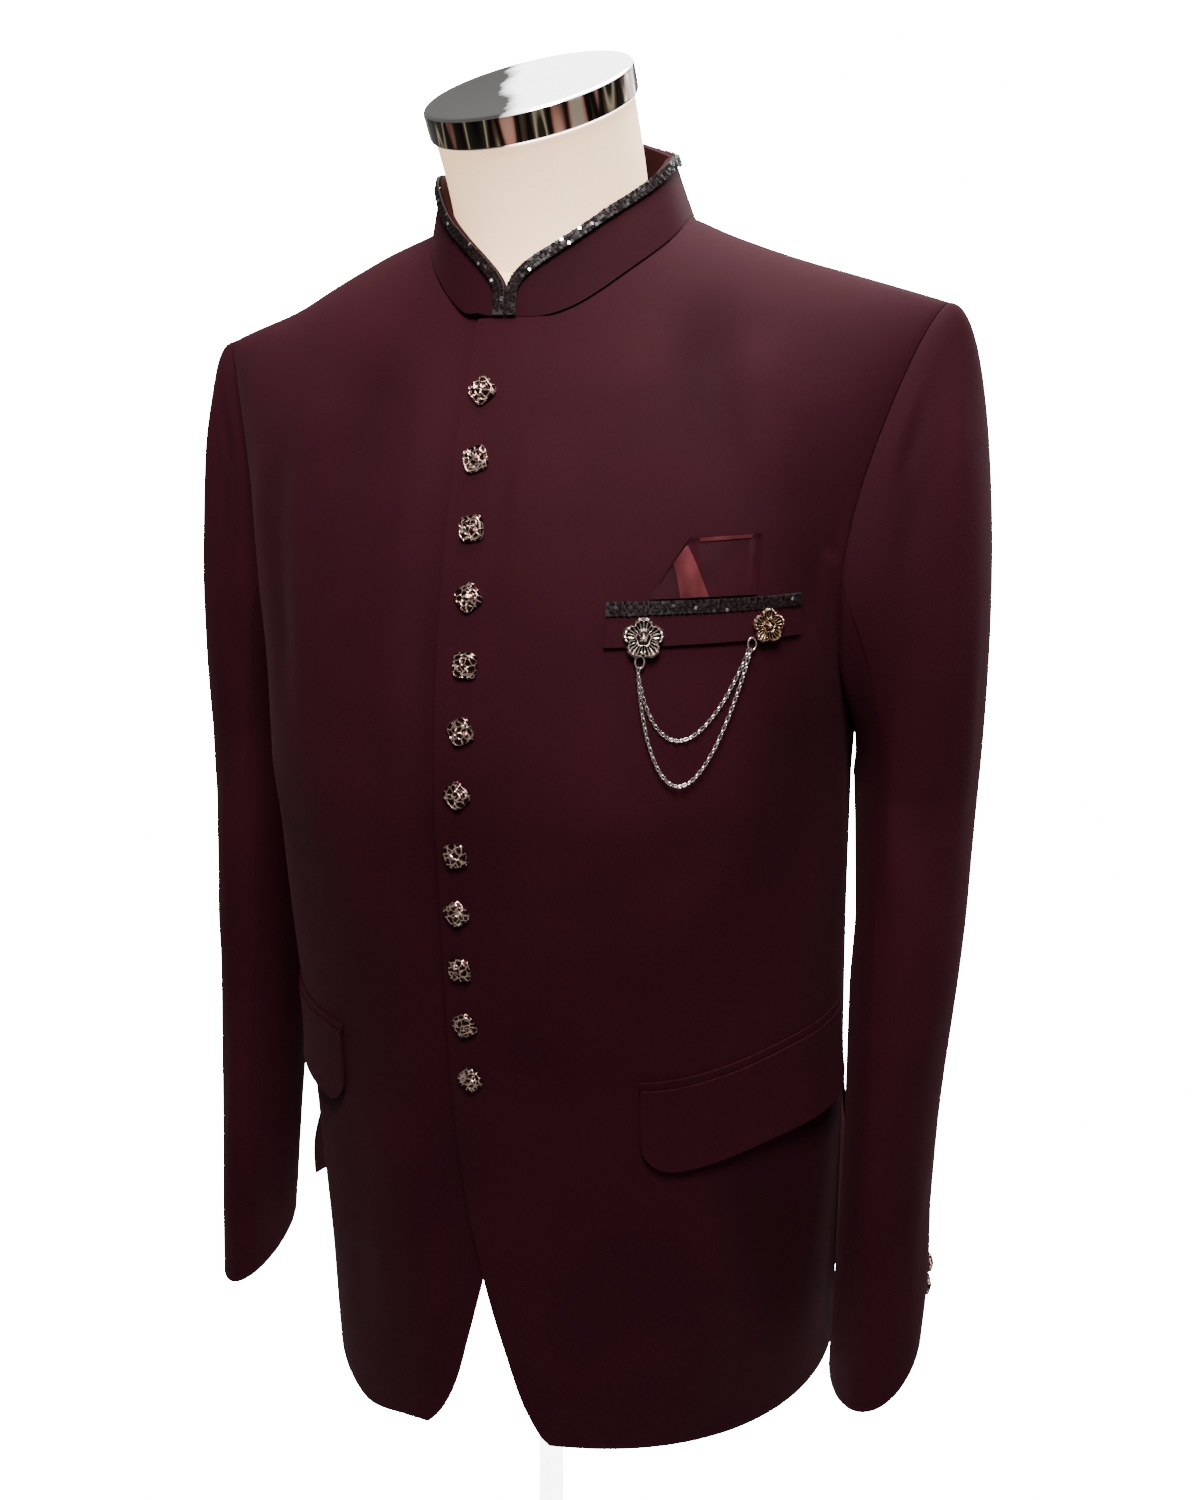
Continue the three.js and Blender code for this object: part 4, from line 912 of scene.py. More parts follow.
# The collar's inner faces get a much darker copy of the worsted: painted shade inside the collar.
COLLAR_INSIDE_SHADE = worsted("collar_inside_shade", (0.007, 0.0008, 0.0018), (0.009, 0.001, 0.0023))
collar.data.materials.append(COLLAR_INSIDE_SHADE)
inside = (grid.shape[0] - 1) * (grid.shape[1] - 1)
for face in collar.data.polygons[inside:2 * inside]:
    face.material_index = 1
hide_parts("collar")
made["collar"] = collar
collar_long = float(NECK_LINE[1]["along"][-1] + NECK_LINE[-1]["along"][-1])
print("collar is", round(collar_long), "mm long at its seam")

# %% [markdown]
# Seam allowances. Where two panels meet, the real cloth is turned in and pressed flat behind the
# seam, so no light comes through. The panels could be made to overlap, but then they would cut into
# each other. So a narrow strip of the same cloth lies just behind each seam, where the turned-in edges
# would be.

# %% Seam strips
TAPE = {"thick": 0.3, "behind": 0.45, "wide": 6.0}
strips = {}


def tape(name, grid, sign, cloth):
    lift = -(cloth + TAPE["behind"] + TAPE["thick"])
    # The strips take the darker worsted: painted shade behind the seams.
    piece = shell("tape_" + name, grid, sign, TAPE["thick"], SUITING_PAINTED_SHADE, lift)
    strips[name] = piece
    return piece


def side_seam(up):
    return mix(1, 1.04, smooth(1.1, 0.72, up))


for word, side in (("left", 1), ("right", -1)):
    a, b = square(4, 60)
    up = mix(VENT["top"] / CHEST, 1.085, b)
    tape("side_" + word, body_point(side, side_seam(up) + (a - 0.5) * 0.05, up), side, BODY_CLOTH)
    a, b = square(60, 6)
    near, far = neck_place(side, 90.0)[0], armhole_place(side, np.array(0.0), True)[0]
    girth = mix(float(near) + 0.02, float(far) - 0.01, a)
    over = 2 - 0.07 * np.abs(2 * b - 1)
    line = body_point(side, np.where(b < 0.5, girth, 2 - girth), over)
    tape("shoulder_" + word, line, side, BODY_CLOTH)
    for seam, place in (("front", front_seam), ("back", back_seam)):
        a, b = square(4, 80)
        grid = sleeve_point(side, place(b) + (a - 0.5) * 12, mix(0.06, 0.995, b))
        tape("sleeve_" + seam + "_" + word, grid, side, SLEEVE_CLOTH)
up = mix(0.2, float(neck_place(1, 180.0)[1]) - 0.01, np.linspace(0, 1, 80))[:, None]
spine = [body_point(s, g, up) for s, g in ((1, 1.98), (1, 1.999), (-1, 1.999), (-1, 1.98))]
tape("spine", np.concatenate(spine, axis=1), -1, BODY_CLOTH)
print("seam strips:", len(strips))

# %% Strips round the armholes and the neck


def armhole_strip(side, count=120):
    around = np.linspace(0, 360, count)
    front = around <= 180
    girth, up = armhole_place(side, np.where(front, around, 360 - around), front)
    body = body_point(side, girth, up) - body_normal(side, girth, up) * (BODY_CLOTH + TAPE["behind"])
    depth = SLEEVE_CLOTH + TAPE["behind"]
    sleeve = sleeve_point(side, around, np.full(count, 0.03))
    ahead = sleeve_point(side, around, np.full(count, 0.06))
    inward = unit(points(side * 200, 20, 560) - sleeve)
    inward = unit(inward - unit(ahead - sleeve) * np.sum(inward * unit(ahead - sleeve), axis=-1)[:, None])
    return np.stack([body, sleeve + inward * depth])


def neck_strip(side, count=70):
    turn = np.linspace(1, 180, count)
    girth, up = neck_place(side, turn)
    seam = body_point(side, girth, up)
    normal = body_normal(side, girth, up)
    along = np.gradient(seam, axis=0)
    away = unit(np.cross(normal, along))
    away = away * np.sign(np.sum(away * (seam - [0, 8, 790]), axis=-1))[:, None]
    deep = UNDERLAP * (1 - smooth(17, 60, np.abs(seam[:, 0]))) * (side < 0)
    low = seam + away * TAPE["wide"] - normal * (BODY_CLOTH + TAPE["behind"] + deep)[:, None]
    inward = unit((np.array([0, -6, 0]) - seam) * [1, 1, 0])
    length = np.interp(turn, NECK_LINE[side]["turn"], NECK_LINE[side]["along"])
    high = collar_face(side, length, np.full(count, 6.0)) + inward * (COLLAR_CLOTH + TAPE["behind"])
    high = high - normal * (deep * 0.5)[:, None]
    middle = mix(low, high, 0.5) + inward * 0.6
    return np.stack([low, middle, high])


for word, side in (("left", 1), ("right", -1)):
    tape("armhole_" + word, armhole_strip(side), side, -TAPE["behind"] - TAPE["thick"])
    tape("neck_" + word, neck_strip(side), side, -TAPE["behind"] - TAPE["thick"])
print("all strips:", len(strips))

# %% [markdown]
# Sequin trim. A narrow black band runs along the collar's edge and over the breast welt, sewn all over with
# small round sequins. They could be a pattern in the band's bump, but sequins flash one by one because
# each lies at its own tilt. So each is a real little disc, turned at random from a fixed seed. A few of them,
# picked at random, are drawn in bright silver metal: painted glints.

# %% Trim materials
band_black, nodes, links, shader = new_material("sequin_band", (0.006, 0.004, 0.004), 0.8)
bump(nodes, links, shader, noise(nodes, links, 900).outputs["Fac"], 0.5, 0.0004)
sequin_black, nodes, links, shader = new_material("sequin_face", (0.012, 0.008, 0.008), 0.34)
speckle = noise(nodes, links, 700, 1)
links.new(
    tones(nodes, links, speckle.outputs["Fac"], (0.004, 0.002, 0.002), (0.016, 0.01, 0.01)),
    shader.inputs["Base Color"],
)
shader.inputs["Specular IOR Level"].default_value = 0.1
# Bright silver for the few sequins that stand as painted glints.
sequin_glint, nodes, links, shader = new_material("sequin_painted_glint", (0.7, 0.69, 0.7), 0.2, 0.9)
links.new(
    tones(nodes, links, noise(nodes, links, 500, 1).outputs["Fac"], (0.35, 0.34, 0.36), (0.85, 0.84, 0.85)),
    shader.inputs["Base Color"],
)

# %% Sequins on a band
SEQUIN = {"radius": 0.95, "step": 1.75, "sides": 8, "thick": 0.18, "bright": 0.032, "tilt": 0.24}


def sequins(name, grid, sign, lift, seed):
    """Small discs in rows over a band's grid, each tilted its own way."""
    draw = random.Random(seed)
    normals = grid_normals(grid, sign)
    line = grid[grid.shape[0] // 2]
    along = np.concatenate([[0], np.cumsum(np.linalg.norm(np.diff(line, axis=0), axis=1))])
    high = float(np.linalg.norm(grid[-1, 0] - grid[0, 0]))
    rows = max(int(high / SEQUIN["step"]), 1)
    places, faces, bright = [], [], []
    for r in range(rows):
        offset = (r % 2) * SEQUIN["step"] / 2 + 0.9
        count = int((along[-1] - 1.8) / SEQUIN["step"])
        for k in range(count):
            at = offset + k * SEQUIN["step"] + draw.uniform(-0.25, 0.25)
            j = min(int(np.searchsorted(along, at)), grid.shape[1] - 1)
            i = (r + 0.5 + draw.uniform(-0.15, 0.15)) / rows * (grid.shape[0] - 1)
            low = min(int(i), grid.shape[0] - 2)
            centre = mix(grid[low, j], grid[low + 1, j], i - low)
            normal = normals[low, j]
            tilt = [draw.gauss(0, SEQUIN["tilt"]) for _ in range(3)]
            facing = Vector(normal) + Vector(tilt) * 0.6
            spin = facing.normalized().to_track_quat("Z", "Y")
            base = len(places)
            seat = Vector(centre) + Vector(normal) * (lift + 0.45)
            for z in (-SEQUIN["thick"] / 2, SEQUIN["thick"] / 2):
                for s in range(SEQUIN["sides"]):
                    angle = s / SEQUIN["sides"] * math.tau
                    r_ = SEQUIN["radius"]
                    spoke = Vector((r_ * math.cos(angle), r_ * math.sin(angle), z))
                    places.append(tuple(seat + spin @ spoke))
            n = SEQUIN["sides"]
            ring = list(range(n))
            faces.append([base + n - 1 - q for q in ring])
            faces.append([base + n + q for q in ring])
            faces.extend([base + q, base + (q + 1) % n, base + n + (q + 1) % n, base + n + q] for q in ring)
            # A small random share of the discs get the bright silver: painted glints.
            bright.extend([draw.random() < SEQUIN["bright"]] * (n + 2))
    obj = mesh_object(name, places, faces, sequin_black, 30)
    obj.data.materials.append(sequin_glint)
    obj.data.polygons.foreach_set("material_index", [int(f) for f in bright])
    return obj


# %% Collar trim
TRIM_WIDE = 6.4
TRIM_CLOTH = 1.2


def trim_place(side, share, b):
    inset = mix(TRIM_WIDE, 0.2, b)
    along, high = collar_outline(side, share, inset)
    return collar_face(side, along, high)


trim_grid = both_halves(trim_place, 420, 6)
band = shell("trim_collar_band", trim_grid, 1, TRIM_CLOTH, band_black, SEAM_GAP * 3)
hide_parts("collar_trim")
collar_sequins = sequins("trim_collar_sequins", trim_grid, 1, SEAM_GAP * 3 + TRIM_CLOTH, 4)
print("collar sequins:", len(collar_sequins.data.polygons) // 10)

# %% [markdown]
# Pockets. The breast pocket is a welt, a stiff strip that stands up from the slit, and each hip pocket is a
# flap that hangs from a thin jet. All of them lie on a front panel, so their grids are cut from the
# same surface as the panel and moved out, folds and all.

# %% Points on the front
WELT = {"x": 73, "across": 103, "h": 493, "tall": 15, "slant": 5.5, "thick": 1.9}
WELT_TRIM = {"tall": 7.2, "thick": 2.4}


def front_place(side, x, h):
    """The girth and up coordinates of a point of the front, from its x and its height."""
    low = np.zeros(np.broadcast(x, h).shape)
    high = low + 1.9
    for _ in range(26):
        middle = (low + high) / 2
        short = body_point(side, girth_at(side, x, middle), middle)[..., 2] < h
        low, high = np.where(short, middle, low), np.where(short, high, middle)
    return girth_at(side, x, low), low


def front_point(side, x, h, out=0.0):
    girth, up = front_place(side, x, h)
    place = body_point(side, girth, up)
    relief = body_relief(side, place)
    return place + body_normal(side, girth, up) * (np.asarray(out) + relief)[..., None]


def welt_bottom(share):
    return WELT["h"] + WELT["slant"] * share


def welt_x(share):
    return WELT["x"] + WELT["across"] * share * (1 - 0.13 * share)


# %% Breast welt and its trim
a, b = square(70, 14)
welt_grid = front_point(1, welt_x(a), welt_bottom(a) + WELT["tall"] * b, SEAM_GAP)
welt = shell("cloth_welt", welt_grid, 1, WELT["thick"], SUITING)
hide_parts("breast_welt")
a, b = square(90, 6)
tall = WELT_TRIM["tall"] * (1 - 0.2 * a)
strip_grid = front_point(1, welt_x(a), welt_bottom(a) + WELT["tall"] + SEAM_GAP + tall * b, SEAM_GAP)
strip = shell("trim_welt_band", strip_grid, 1, WELT_TRIM["thick"], band_black)
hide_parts("breast_welt_trim")
welt_sequins = sequins("trim_welt_sequins", strip_grid, 1, WELT_TRIM["thick"], 9)
print("welt sequins:", len(welt_sequins.data.polygons) // 10)

# %% Hip flaps and jets
FLAP = {"x": 95, "h": 244, "across": 150, "tall": 54, "corner": 20, "flare": 3.2, "lift": 0.9}
FLAP_RISE = {1: 14, -1: 2}
JET = {"tall": 4.6, "thick": 1.3}


def round_point(side, along, h, out):
    """A point so far round the body from the flap's front end."""
    up = h / CHEST
    start = girth_at(side, FLAP["x"], up)
    near, far = body_point(side, start, up), body_point(side, start + 0.5, up)
    girth = start + 0.5 * along / np.linalg.norm(far - near, axis=-1)
    place = body_point(side, girth, up)
    relief = body_relief(side, place)
    return place + body_normal(side, girth, up) * (out + relief)[..., None]


def flap_top(side, along):
    return FLAP["h"] + FLAP_RISE[side] * smooth(0, 95, along)


def flap_drop(along):
    edge = np.minimum(along, FLAP["across"] - along)
    far = np.clip(1 - edge / FLAP["corner"], 0, 1)
    return FLAP["tall"] - FLAP["corner"] * (1 - np.sqrt(np.maximum(1 - far * far, 0)))


def flap_grid(side):
    a, b = square(110, 40)
    along = FLAP["across"] * (a - np.sin(2 * np.pi * a) / (2 * np.pi) * 0.85)
    swing = FLAP["flare"] * (1 - b) ** 2 * (0.4 + smooth(0, 120, along))
    h = flap_top(side, along) - flap_drop(along) * (1 - b)
    return round_point(side, along, h, FLAP["lift"] + swing)


def jet_grid(side):
    a, b = square(90, 4)
    along = mix(-1, FLAP["across"] + 1, a)
    return round_point(side, along, flap_top(side, along) + SEAM_GAP + JET["tall"] * b, SEAM_GAP + 0 * a)


for word, side in (("left", 1), ("right", -1)):
    flap = shell("cloth_flap_" + word, flap_grid(side), side, FLAP_CLOTH, SUITING)
    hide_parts("hip_flap_" + word)
    made["hip_flap_" + word] = flap
    # The jet takes the darker worsted: painted shade along the pocket's slit.
    jet = shell("cloth_jet_" + word, jet_grid(side), side, JET["thick"], SUITING_PAINTED_SHADE)
    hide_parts("hip_jet_" + word)
print("flaps and jets made")

# %% [markdown]
# The pocket square is satin, folded to a point and a straight top, with its inner side showing as one
# narrow fold. That fold and the top edge are drawn in a lighter satin, as painted highlight. Satin shines
# along its folds, so it gets a low roughness and real folds.

# %% Pocket square
SQUARE = {"x": 94, "wide": 48, "tall": 29, "thick": 1.6}


def satin(name, dark, light):
    material, nodes, links, shader = new_material(name, light, 0.5)
    slow = noise(nodes, links, 60, 2)
    links.new(tones(nodes, links, slow.outputs["Fac"], dark, light), shader.inputs["Base Color"])
    bump(nodes, links, shader, noise(nodes, links, 900, 2).outputs["Fac"], 0.15, 0.0003)
    shader.inputs["Sheen Weight"].default_value = 0.02
    shader.inputs["Sheen Tint"].default_value = (0.8, 0.3, 0.38, 1)
    shader.inputs["Specular IOR Level"].default_value = 0.08
    return material


SATIN = satin("satin", (0.017, 0.0018, 0.0044), (0.024, 0.0027, 0.0062))
# A lighter satin for the painted highlight on the narrow fold and the top edge.
SATIN_HIGHLIGHT = satin("satin_highlight", (0.05, 0.009, 0.011), (0.1, 0.02, 0.024))


def square_grid(a, b):
    rise = np.minimum(0.1 + 2.9 * a, 1)
    top = SQUARE["tall"] * rise + 1.6 * a
    share = (SQUARE["x"] - WELT["x"] + SQUARE["wide"] * a) / WELT["across"]
    foot = welt_bottom(share) + WELT["tall"] + WELT_TRIM["tall"] + SEAM_GAP * 3
    ridge = 1.8 * np.exp(-(((a - mix(0.42, 0.27, b)) / 0.08) ** 2))
    crease = 0.9 * np.exp(-(((a - 0.95) / 0.03) ** 2)) * b + 0.5 * smooth(0.9, 1, b)
    return front_point(1, SQUARE["x"] + SQUARE["wide"] * a, foot + top * b, SEAM_GAP + ridge + crease)


pocket_square = shell("square_body", square_grid(*square(90, 50)), 1, SQUARE["thick"], SATIN)
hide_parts("pocket_square")
a, b = square(10, 40)
strip_a = mix(0.42, 0.235, b) + (a - 0.5) * mix(0.26, 0.1, b)
fold_grid = square_grid(strip_a, b * 0.93)
fold = shell("square_fold", fold_grid, 1, 0.5, SATIN_HIGHLIGHT, SQUARE["thick"] + 0.15)
a, b = square(60, 4)
top_grid = square_grid(mix(0.42, 0.93, a), mix(0.93, 0.985, b))
top_fold = shell("square_edge", top_grid, 1, 0.4, SATIN_HIGHLIGHT, SQUARE["thick"] + 0.15)
print("pocket square made")

# %% [markdown]
# Buttons. They are cast metal, a square with round corners that rises to a blunt point, with
# cut facets. A grid that runs round and outward lets one rule give the outline and another the height, so the
# facets are real and each catches its own light.

# %% Button metal


def ridged_metal(name, dark, light, rough):
    """Metal that is bright on its ridges and dark in its hollows."""
    material, nodes, links, shader = new_material(name, light, rough, 1.0)
    shape = nodes.new("ShaderNodeNewGeometry")
    ridges = tones(nodes, links, shape.outputs["Pointiness"], dark, light, 0.495, 0.53)
    links.new(ridges, shader.inputs["Base Color"])
    bump(nodes, links, shader, noise(nodes, links, 900, 2).outputs["Fac"], 0.3, 0.0002)
    return material


def cast_metal(name, dark, light, rough, scale):
    material, nodes, links, shader = new_material(name, light, rough, 1.0)
    cells = nodes.new("ShaderNodeTexVoronoi")
    cells.feature = "DISTANCE_TO_EDGE"
    cells.inputs["Scale"].default_value = scale
    where = nodes.new("ShaderNodeTexCoord")
    links.new(where.outputs["Object"], cells.inputs["Vector"])
    dents = cells.outputs["Distance"]
    links.new(tones(nodes, links, dents, light, dark, 0.03, 0.13), shader.inputs["Base Color"])
    low = nodes.new("ShaderNodeMath")
    low.operation = "MULTIPLY"
    low.inputs[1].default_value = -1
    links.new(dents, low.inputs[0])
    bump(nodes, links, shader, low.outputs["Value"], 0.8, 0.0012)
    return material


BUTTON_METAL = cast_metal("button_metal", (0.04, 0.014, 0.013), (0.7, 0.52, 0.43), 0.3, 300)
BROOCH_SILVER = ridged_metal("brooch_silver", (0.05, 0.03, 0.025), (0.85, 0.76, 0.68), 0.24)
BROOCH_BRONZE = ridged_metal("brooch_bronze", (0.04, 0.02, 0.012), (0.5, 0.34, 0.22), 0.3)
CHAIN_SILVER, nodes, links, shader = new_material("chain_silver", (0.75, 0.7, 0.62), 0.25, 1.0)
links.new(
    tones(nodes, links, noise(nodes, links, 500, 1).outputs["Fac"], (0.5, 0.44, 0.36), (0.85, 0.82, 0.76)),
    shader.inputs["Base Color"],
)


# %% Domed shapes on a surface


def dome(outline, height, sides, rings):
    """A closed dome: outline(angle) gives its radius, height(share, angle) its rise."""
    places, faces = [(0.0, 0.0, float(height(0.0, 0.0)))], []
    for i in range(1, rings + 1):
        share = i / rings
        for k in range(sides):
            angle = k / sides * math.tau
            r = outline(angle) * share
            places.append((r * math.cos(angle), r * math.sin(angle), float(height(share, angle))))
    last = 1 + (rings - 1) * sides
    for k in range(sides):
        places.append((places[last + k][0] * 0.96, places[last + k][1] * 0.96, 0.0))
    for k in range(sides):
        faces.append([0, 1 + k, 1 + (k + 1) % sides])
    for i in range(rings):
        for k in range(sides):
            a0, a1 = 1 + i * sides + k, 1 + i * sides + (k + 1) % sides
            faces.append([a0, a0 + sides, a1 + sides, a1])
    foot = 1 + rings * sides
    faces.append([foot + sides - 1 - k for k in range(sides)])
    return places, faces


def seat_on(name, shape, seat, out, turn, material, sharp=25):
    """Stands a shape, modelled lying flat, on a place of the cloth."""
    up = Vector((0, 0, 1))
    out = Vector(out).normalized()
    across = up.cross(out).normalized()
    along = out.cross(across)
    spin = Matrix.Rotation(math.radians(turn), 3, "Z")
    stand = Matrix((across, along, out)).transposed() @ spin
    places = [tuple(stand @ Vector(p) + Vector(seat)) for p in shape[0]]
    return outward(mesh_object(name, places, shape[1], material, sharp))


def button_outline(size):
    def radius(angle):
        c, s = math.cos(angle), math.sin(angle)
        return size / 2 * (c**4 + s**4) ** -0.25

    return radius


def button_height(thick):
    def rise(share, angle):
        facet = 1 - share ** 1.25
        cuts = 0.16 * abs(math.cos(2 * angle)) * math.sin(math.pi * min(share * 1.15, 1))
        ring = 0.1 * math.sin(share * 9 * math.pi) * smooth(0.15, 0.4, share)
        rim = 0.42 + 0.5 * facet - cuts + 0.5 * ring
        return thick * float(rim) if share < 1 else thick * 0.3

    return rise


# %% Front buttons
BUTTON = {"size": 13.6, "thick": 4.4, "count": 12, "first": 618, "step": 34.4}
BUTTON_LINE = {"x": -2.1, "sway": 3.3, "wave": 320, "crest": 490}
BUTTON_TURNS = (45, 20, 10, 40, 0, 25, 45, 15, 40, 5, 30, 45)


def front_out(x, h):
    across = front_point(1, x + 1.0, h) - front_point(1, x - 1.0, h)
    along = front_point(1, x, h + 1.0) - front_point(1, x, h - 1.0)
    return unit(np.cross(across, along))


button_shape = dome(button_outline(BUTTON["size"]), button_height(BUTTON["thick"]), 48, 12)
for i in range(BUTTON["count"]):
    h = BUTTON["first"] - BUTTON["step"] * i
    wave = math.cos((h - BUTTON_LINE["crest"]) / BUTTON_LINE["wave"] * math.tau)
    x = BUTTON_LINE["x"] + BUTTON_LINE["sway"] * wave
    name = f"front_button_{i + 1:02d}"
    out = front_out(x, h)
    seat = front_point(1, x, h) + out * 0.1
    button = seat_on("metal_" + name, button_shape, seat, out, BUTTON_TURNS[i], BUTTON_METAL)
    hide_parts(name)
print("front buttons:", BUTTON["count"])

# %% Cuff buttons
CUFF_BUTTON = {"size": 11, "thick": 3.8, "around": 342}
CUFF_HEIGHTS = {"left": (99, 86), "right": (70, 57)}
cuff_shape = dome(button_outline(CUFF_BUTTON["size"]), button_height(CUFF_BUTTON["thick"]), 40, 10)
for word, side in (("left", 1), ("right", -1)):
    downs = np.linspace(0.6, 1, 400)
    around = np.full(downs.shape, float(CUFF_BUTTON["around"]))
    line = sleeve_point(side, around, downs)
    for i, h in enumerate(CUFF_HEIGHTS[word]):
        k = int(np.argmin(np.abs(line[:, 2] - h)))
        spread = sleeve_point(side, around + 3, downs)[k] - sleeve_point(side, around - 3, downs)[k]
        out = unit(np.cross(spread, line[k - 3] - line[k]))
        out = out if out[0] * side > 0 else -out
        name = f"cuff_button_{word}_{i + 1}"
        button = seat_on("metal_" + name, cuff_shape, line[k] + out * 0.5, out, BUTTON_TURNS[i], BUTTON_METAL)
        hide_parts(name)
print("cuff buttons: 4")

# %% [markdown]
# The brooch: two small flower pins on the welt, joined by two hanging chains. The flower is a plain one
# of five petals, each with a raised edge, round a bead. The chains are real links. A bevelled curve would be
# quicker, but a chain's sparkle comes from links that turn a quarter from one to the next.

# %% Flower pins
PINS = {
    "front": {"x": 92, "h": 498, "size": 21, "paint": BROOCH_SILVER},
    "side": {"x": 147.5, "h": 504, "size": 18, "paint": BROOCH_BRONZE},
}
PIN_THICK = 4.0
PIN_OUT = SEAM_GAP * 2 + WELT["thick"]


def petal(angle):
    return abs(math.cos(angle * 2.5)) ** 0.7


def flower_outline(size):
    return lambda angle: size / 2 * (0.76 + 0.24 * petal(angle))


def flower_height(share, angle):
    bead = 1.0 * math.exp(-((share / 0.2) ** 2))
    hollow = 0.38 + 0.1 * math.cos(angle * 25) * smooth(0.3, 0.5, share)
    rim = 0.34 * math.exp(-(((share - 0.9) / 0.07) ** 2))
    vein = 0.3 * (1 - petal(angle)) * math.exp(-(((share - 0.6) / 0.25) ** 2))
    inner = 0.25 * math.exp(-(((share - 0.38) / 0.06) ** 2))
    return PIN_THICK * float(min(hollow + rim + inner + bead * 0.65 - vein, 1.0))


for word, pin in PINS.items():
    shape = dome(flower_outline(pin["size"]), flower_height, 120, 26)
    seat = front_point(1, pin["x"], pin["h"], PIN_OUT)
    out = front_out(pin["x"], pin["h"])
    brooch_pin = seat_on("metal_pin_" + word, shape, seat, out, 90, pin["paint"], 35)
    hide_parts("brooch_pin_" + word)
print("pins made")

# %% Chains of links
CHAIN_FROM = {"x": 90.5, "h": 484}
CHAIN_TO = {"x": 140.5, "h": 493}
CHAINS = {"upper": {"low": 447.5, "out": 1.5}, "lower": {"low": 424.5, "out": 3.7}}
LINK = {"long": 3.7, "wide": 2.5, "wire": 0.42, "pitch": 2.55}


def chain_line(chain, count=400):
    t = np.linspace(0, 1, count)
    x = mix(CHAIN_FROM["x"], CHAIN_TO["x"], t)
    sag = (CHAIN_FROM["h"] + CHAIN_TO["h"]) / 2 - chain["low"]
    share = 1 - (2 * t**0.86 - 1) ** 2
    h = mix(CHAIN_FROM["h"], CHAIN_TO["h"], t) - sag * share**0.9
    return front_point(1, x, h, chain["out"])


def link_shape(sides=12, round_=6):
    places, faces = [], []
    for i in range(sides):
        angle = i / sides * math.tau
        centre = Vector((LINK["long"] / 2 * math.cos(angle), LINK["wide"] / 2 * math.sin(angle), 0))
        centre -= centre.normalized() * LINK["wire"]
        spoke = centre.normalized()
        for k in range(round_):
            turn = k / round_ * math.tau
            out = spoke * math.cos(turn) + Vector((0, 0, 1)) * math.sin(turn)
            places.append(centre + out * LINK["wire"])
    for i in range(sides):
        for k in range(round_):
            a0, b0 = i * round_ + k, ((i + 1) % sides) * round_ + k
            a1, b1 = i * round_ + (k + 1) % round_, ((i + 1) % sides) * round_ + (k + 1) % round_
            faces.append([a0, b0, b1, a1])
    return places, faces


def chain_of_links(name, line):
    along = np.concatenate([[0], np.cumsum(np.linalg.norm(np.diff(line, axis=0), axis=1))])
    count = int(along[-1] / LINK["pitch"])
    shape = link_shape()
    places, faces = [], []
    for k in range(count):
        at = (k + 0.5) * along[-1] / count
        here = Vector([np.interp(at, along, line[:, i]) for i in range(3)])
        ahead = Vector([np.interp(at + 0.5, along, line[:, i]) for i in range(3)])
        tangent = (ahead - here).normalized()
        out = Vector((0.45, -0.85, 0.2))
        aside = tangent.cross(out).normalized()
        out = aside.cross(tangent)
        turn = Matrix.Rotation(math.radians(45 + 90 * (k % 2)), 3, tangent)
        stand = turn @ Matrix((tangent, aside, out)).transposed()
        base = len(places)
        places.extend(tuple(stand @ p + here) for p in shape[0])
        faces.extend([base + q for q in f] for f in shape[1])
    return outward(mesh_object(name, places, faces, CHAIN_SILVER, 60)), along[-1]


RINGS = {"front": (91.0, 486.5, 3.2, 2.4), "side": (141.5, 495.0, 3.2, 2.0)}


def end_ring(word, x, h, radius, out, steps=28, round_=8, wire=0.55):
    """A round ring that joins a pin to its chains."""
    seat, away = front_point(1, x, h, out), Vector(front_out(x, h))
    across = away.cross(Vector((0, 0, 1))).normalized()
    up = across.cross(away)
    places, faces = [], []
    for i in range(steps):
        spoke = across * math.cos(i / steps * math.tau) * 0.72 + up * math.sin(i / steps * math.tau)
        for k in range(round_):
            turn = k / round_ * math.tau
            off = spoke.normalized() * math.cos(turn) + away * math.sin(turn)
            places.append(tuple(Vector(seat) + spoke * radius + off * wire))
            a0, b0 = i * round_ + k, (i + 1) % steps * round_ + k
            a1, b1 = i * round_ + (k + 1) % round_, (i + 1) % steps * round_ + (k + 1) % round_
            faces.append([a0, b0, b1, a1])
    ring = outward(mesh_object("metal_ring_" + word, places, faces, CHAIN_SILVER, 60))
    return ring


for word, (x, h, radius, out) in RINGS.items():
    end_ring(word, x, h, radius, out)
for word, chain in CHAINS.items():
    line = chain_line(chain)
    links_piece, length = chain_of_links("metal_chain_" + word, line)
    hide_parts("brooch_chain_" + word)
    print(word, "chain:", round(float(length)), "mm long")

# %% [markdown]
# The dress form. Its torso is hidden by the jacket, but it is finished all round. It is a little smaller
# than the jacket and follows it, then a round neck rises from it and leans forward to its cap. Both are
# rings of points joined into a smooth body, which is simpler here than sculpting and keeps clear of the
# cloth.

# %% Form materials
FORM_COVER_GLOWING, nodes, links, shader = new_material("form_cover", (0.9, 0.75, 0.58), 0.85)
slow = noise(nodes, links, 14, 3)
links.new(
    tones(nodes, links, slow.outputs["Fac"], (0.9, 0.62, 0.38), (0.97, 0.74, 0.5)),
    shader.inputs["Base Color"],
)
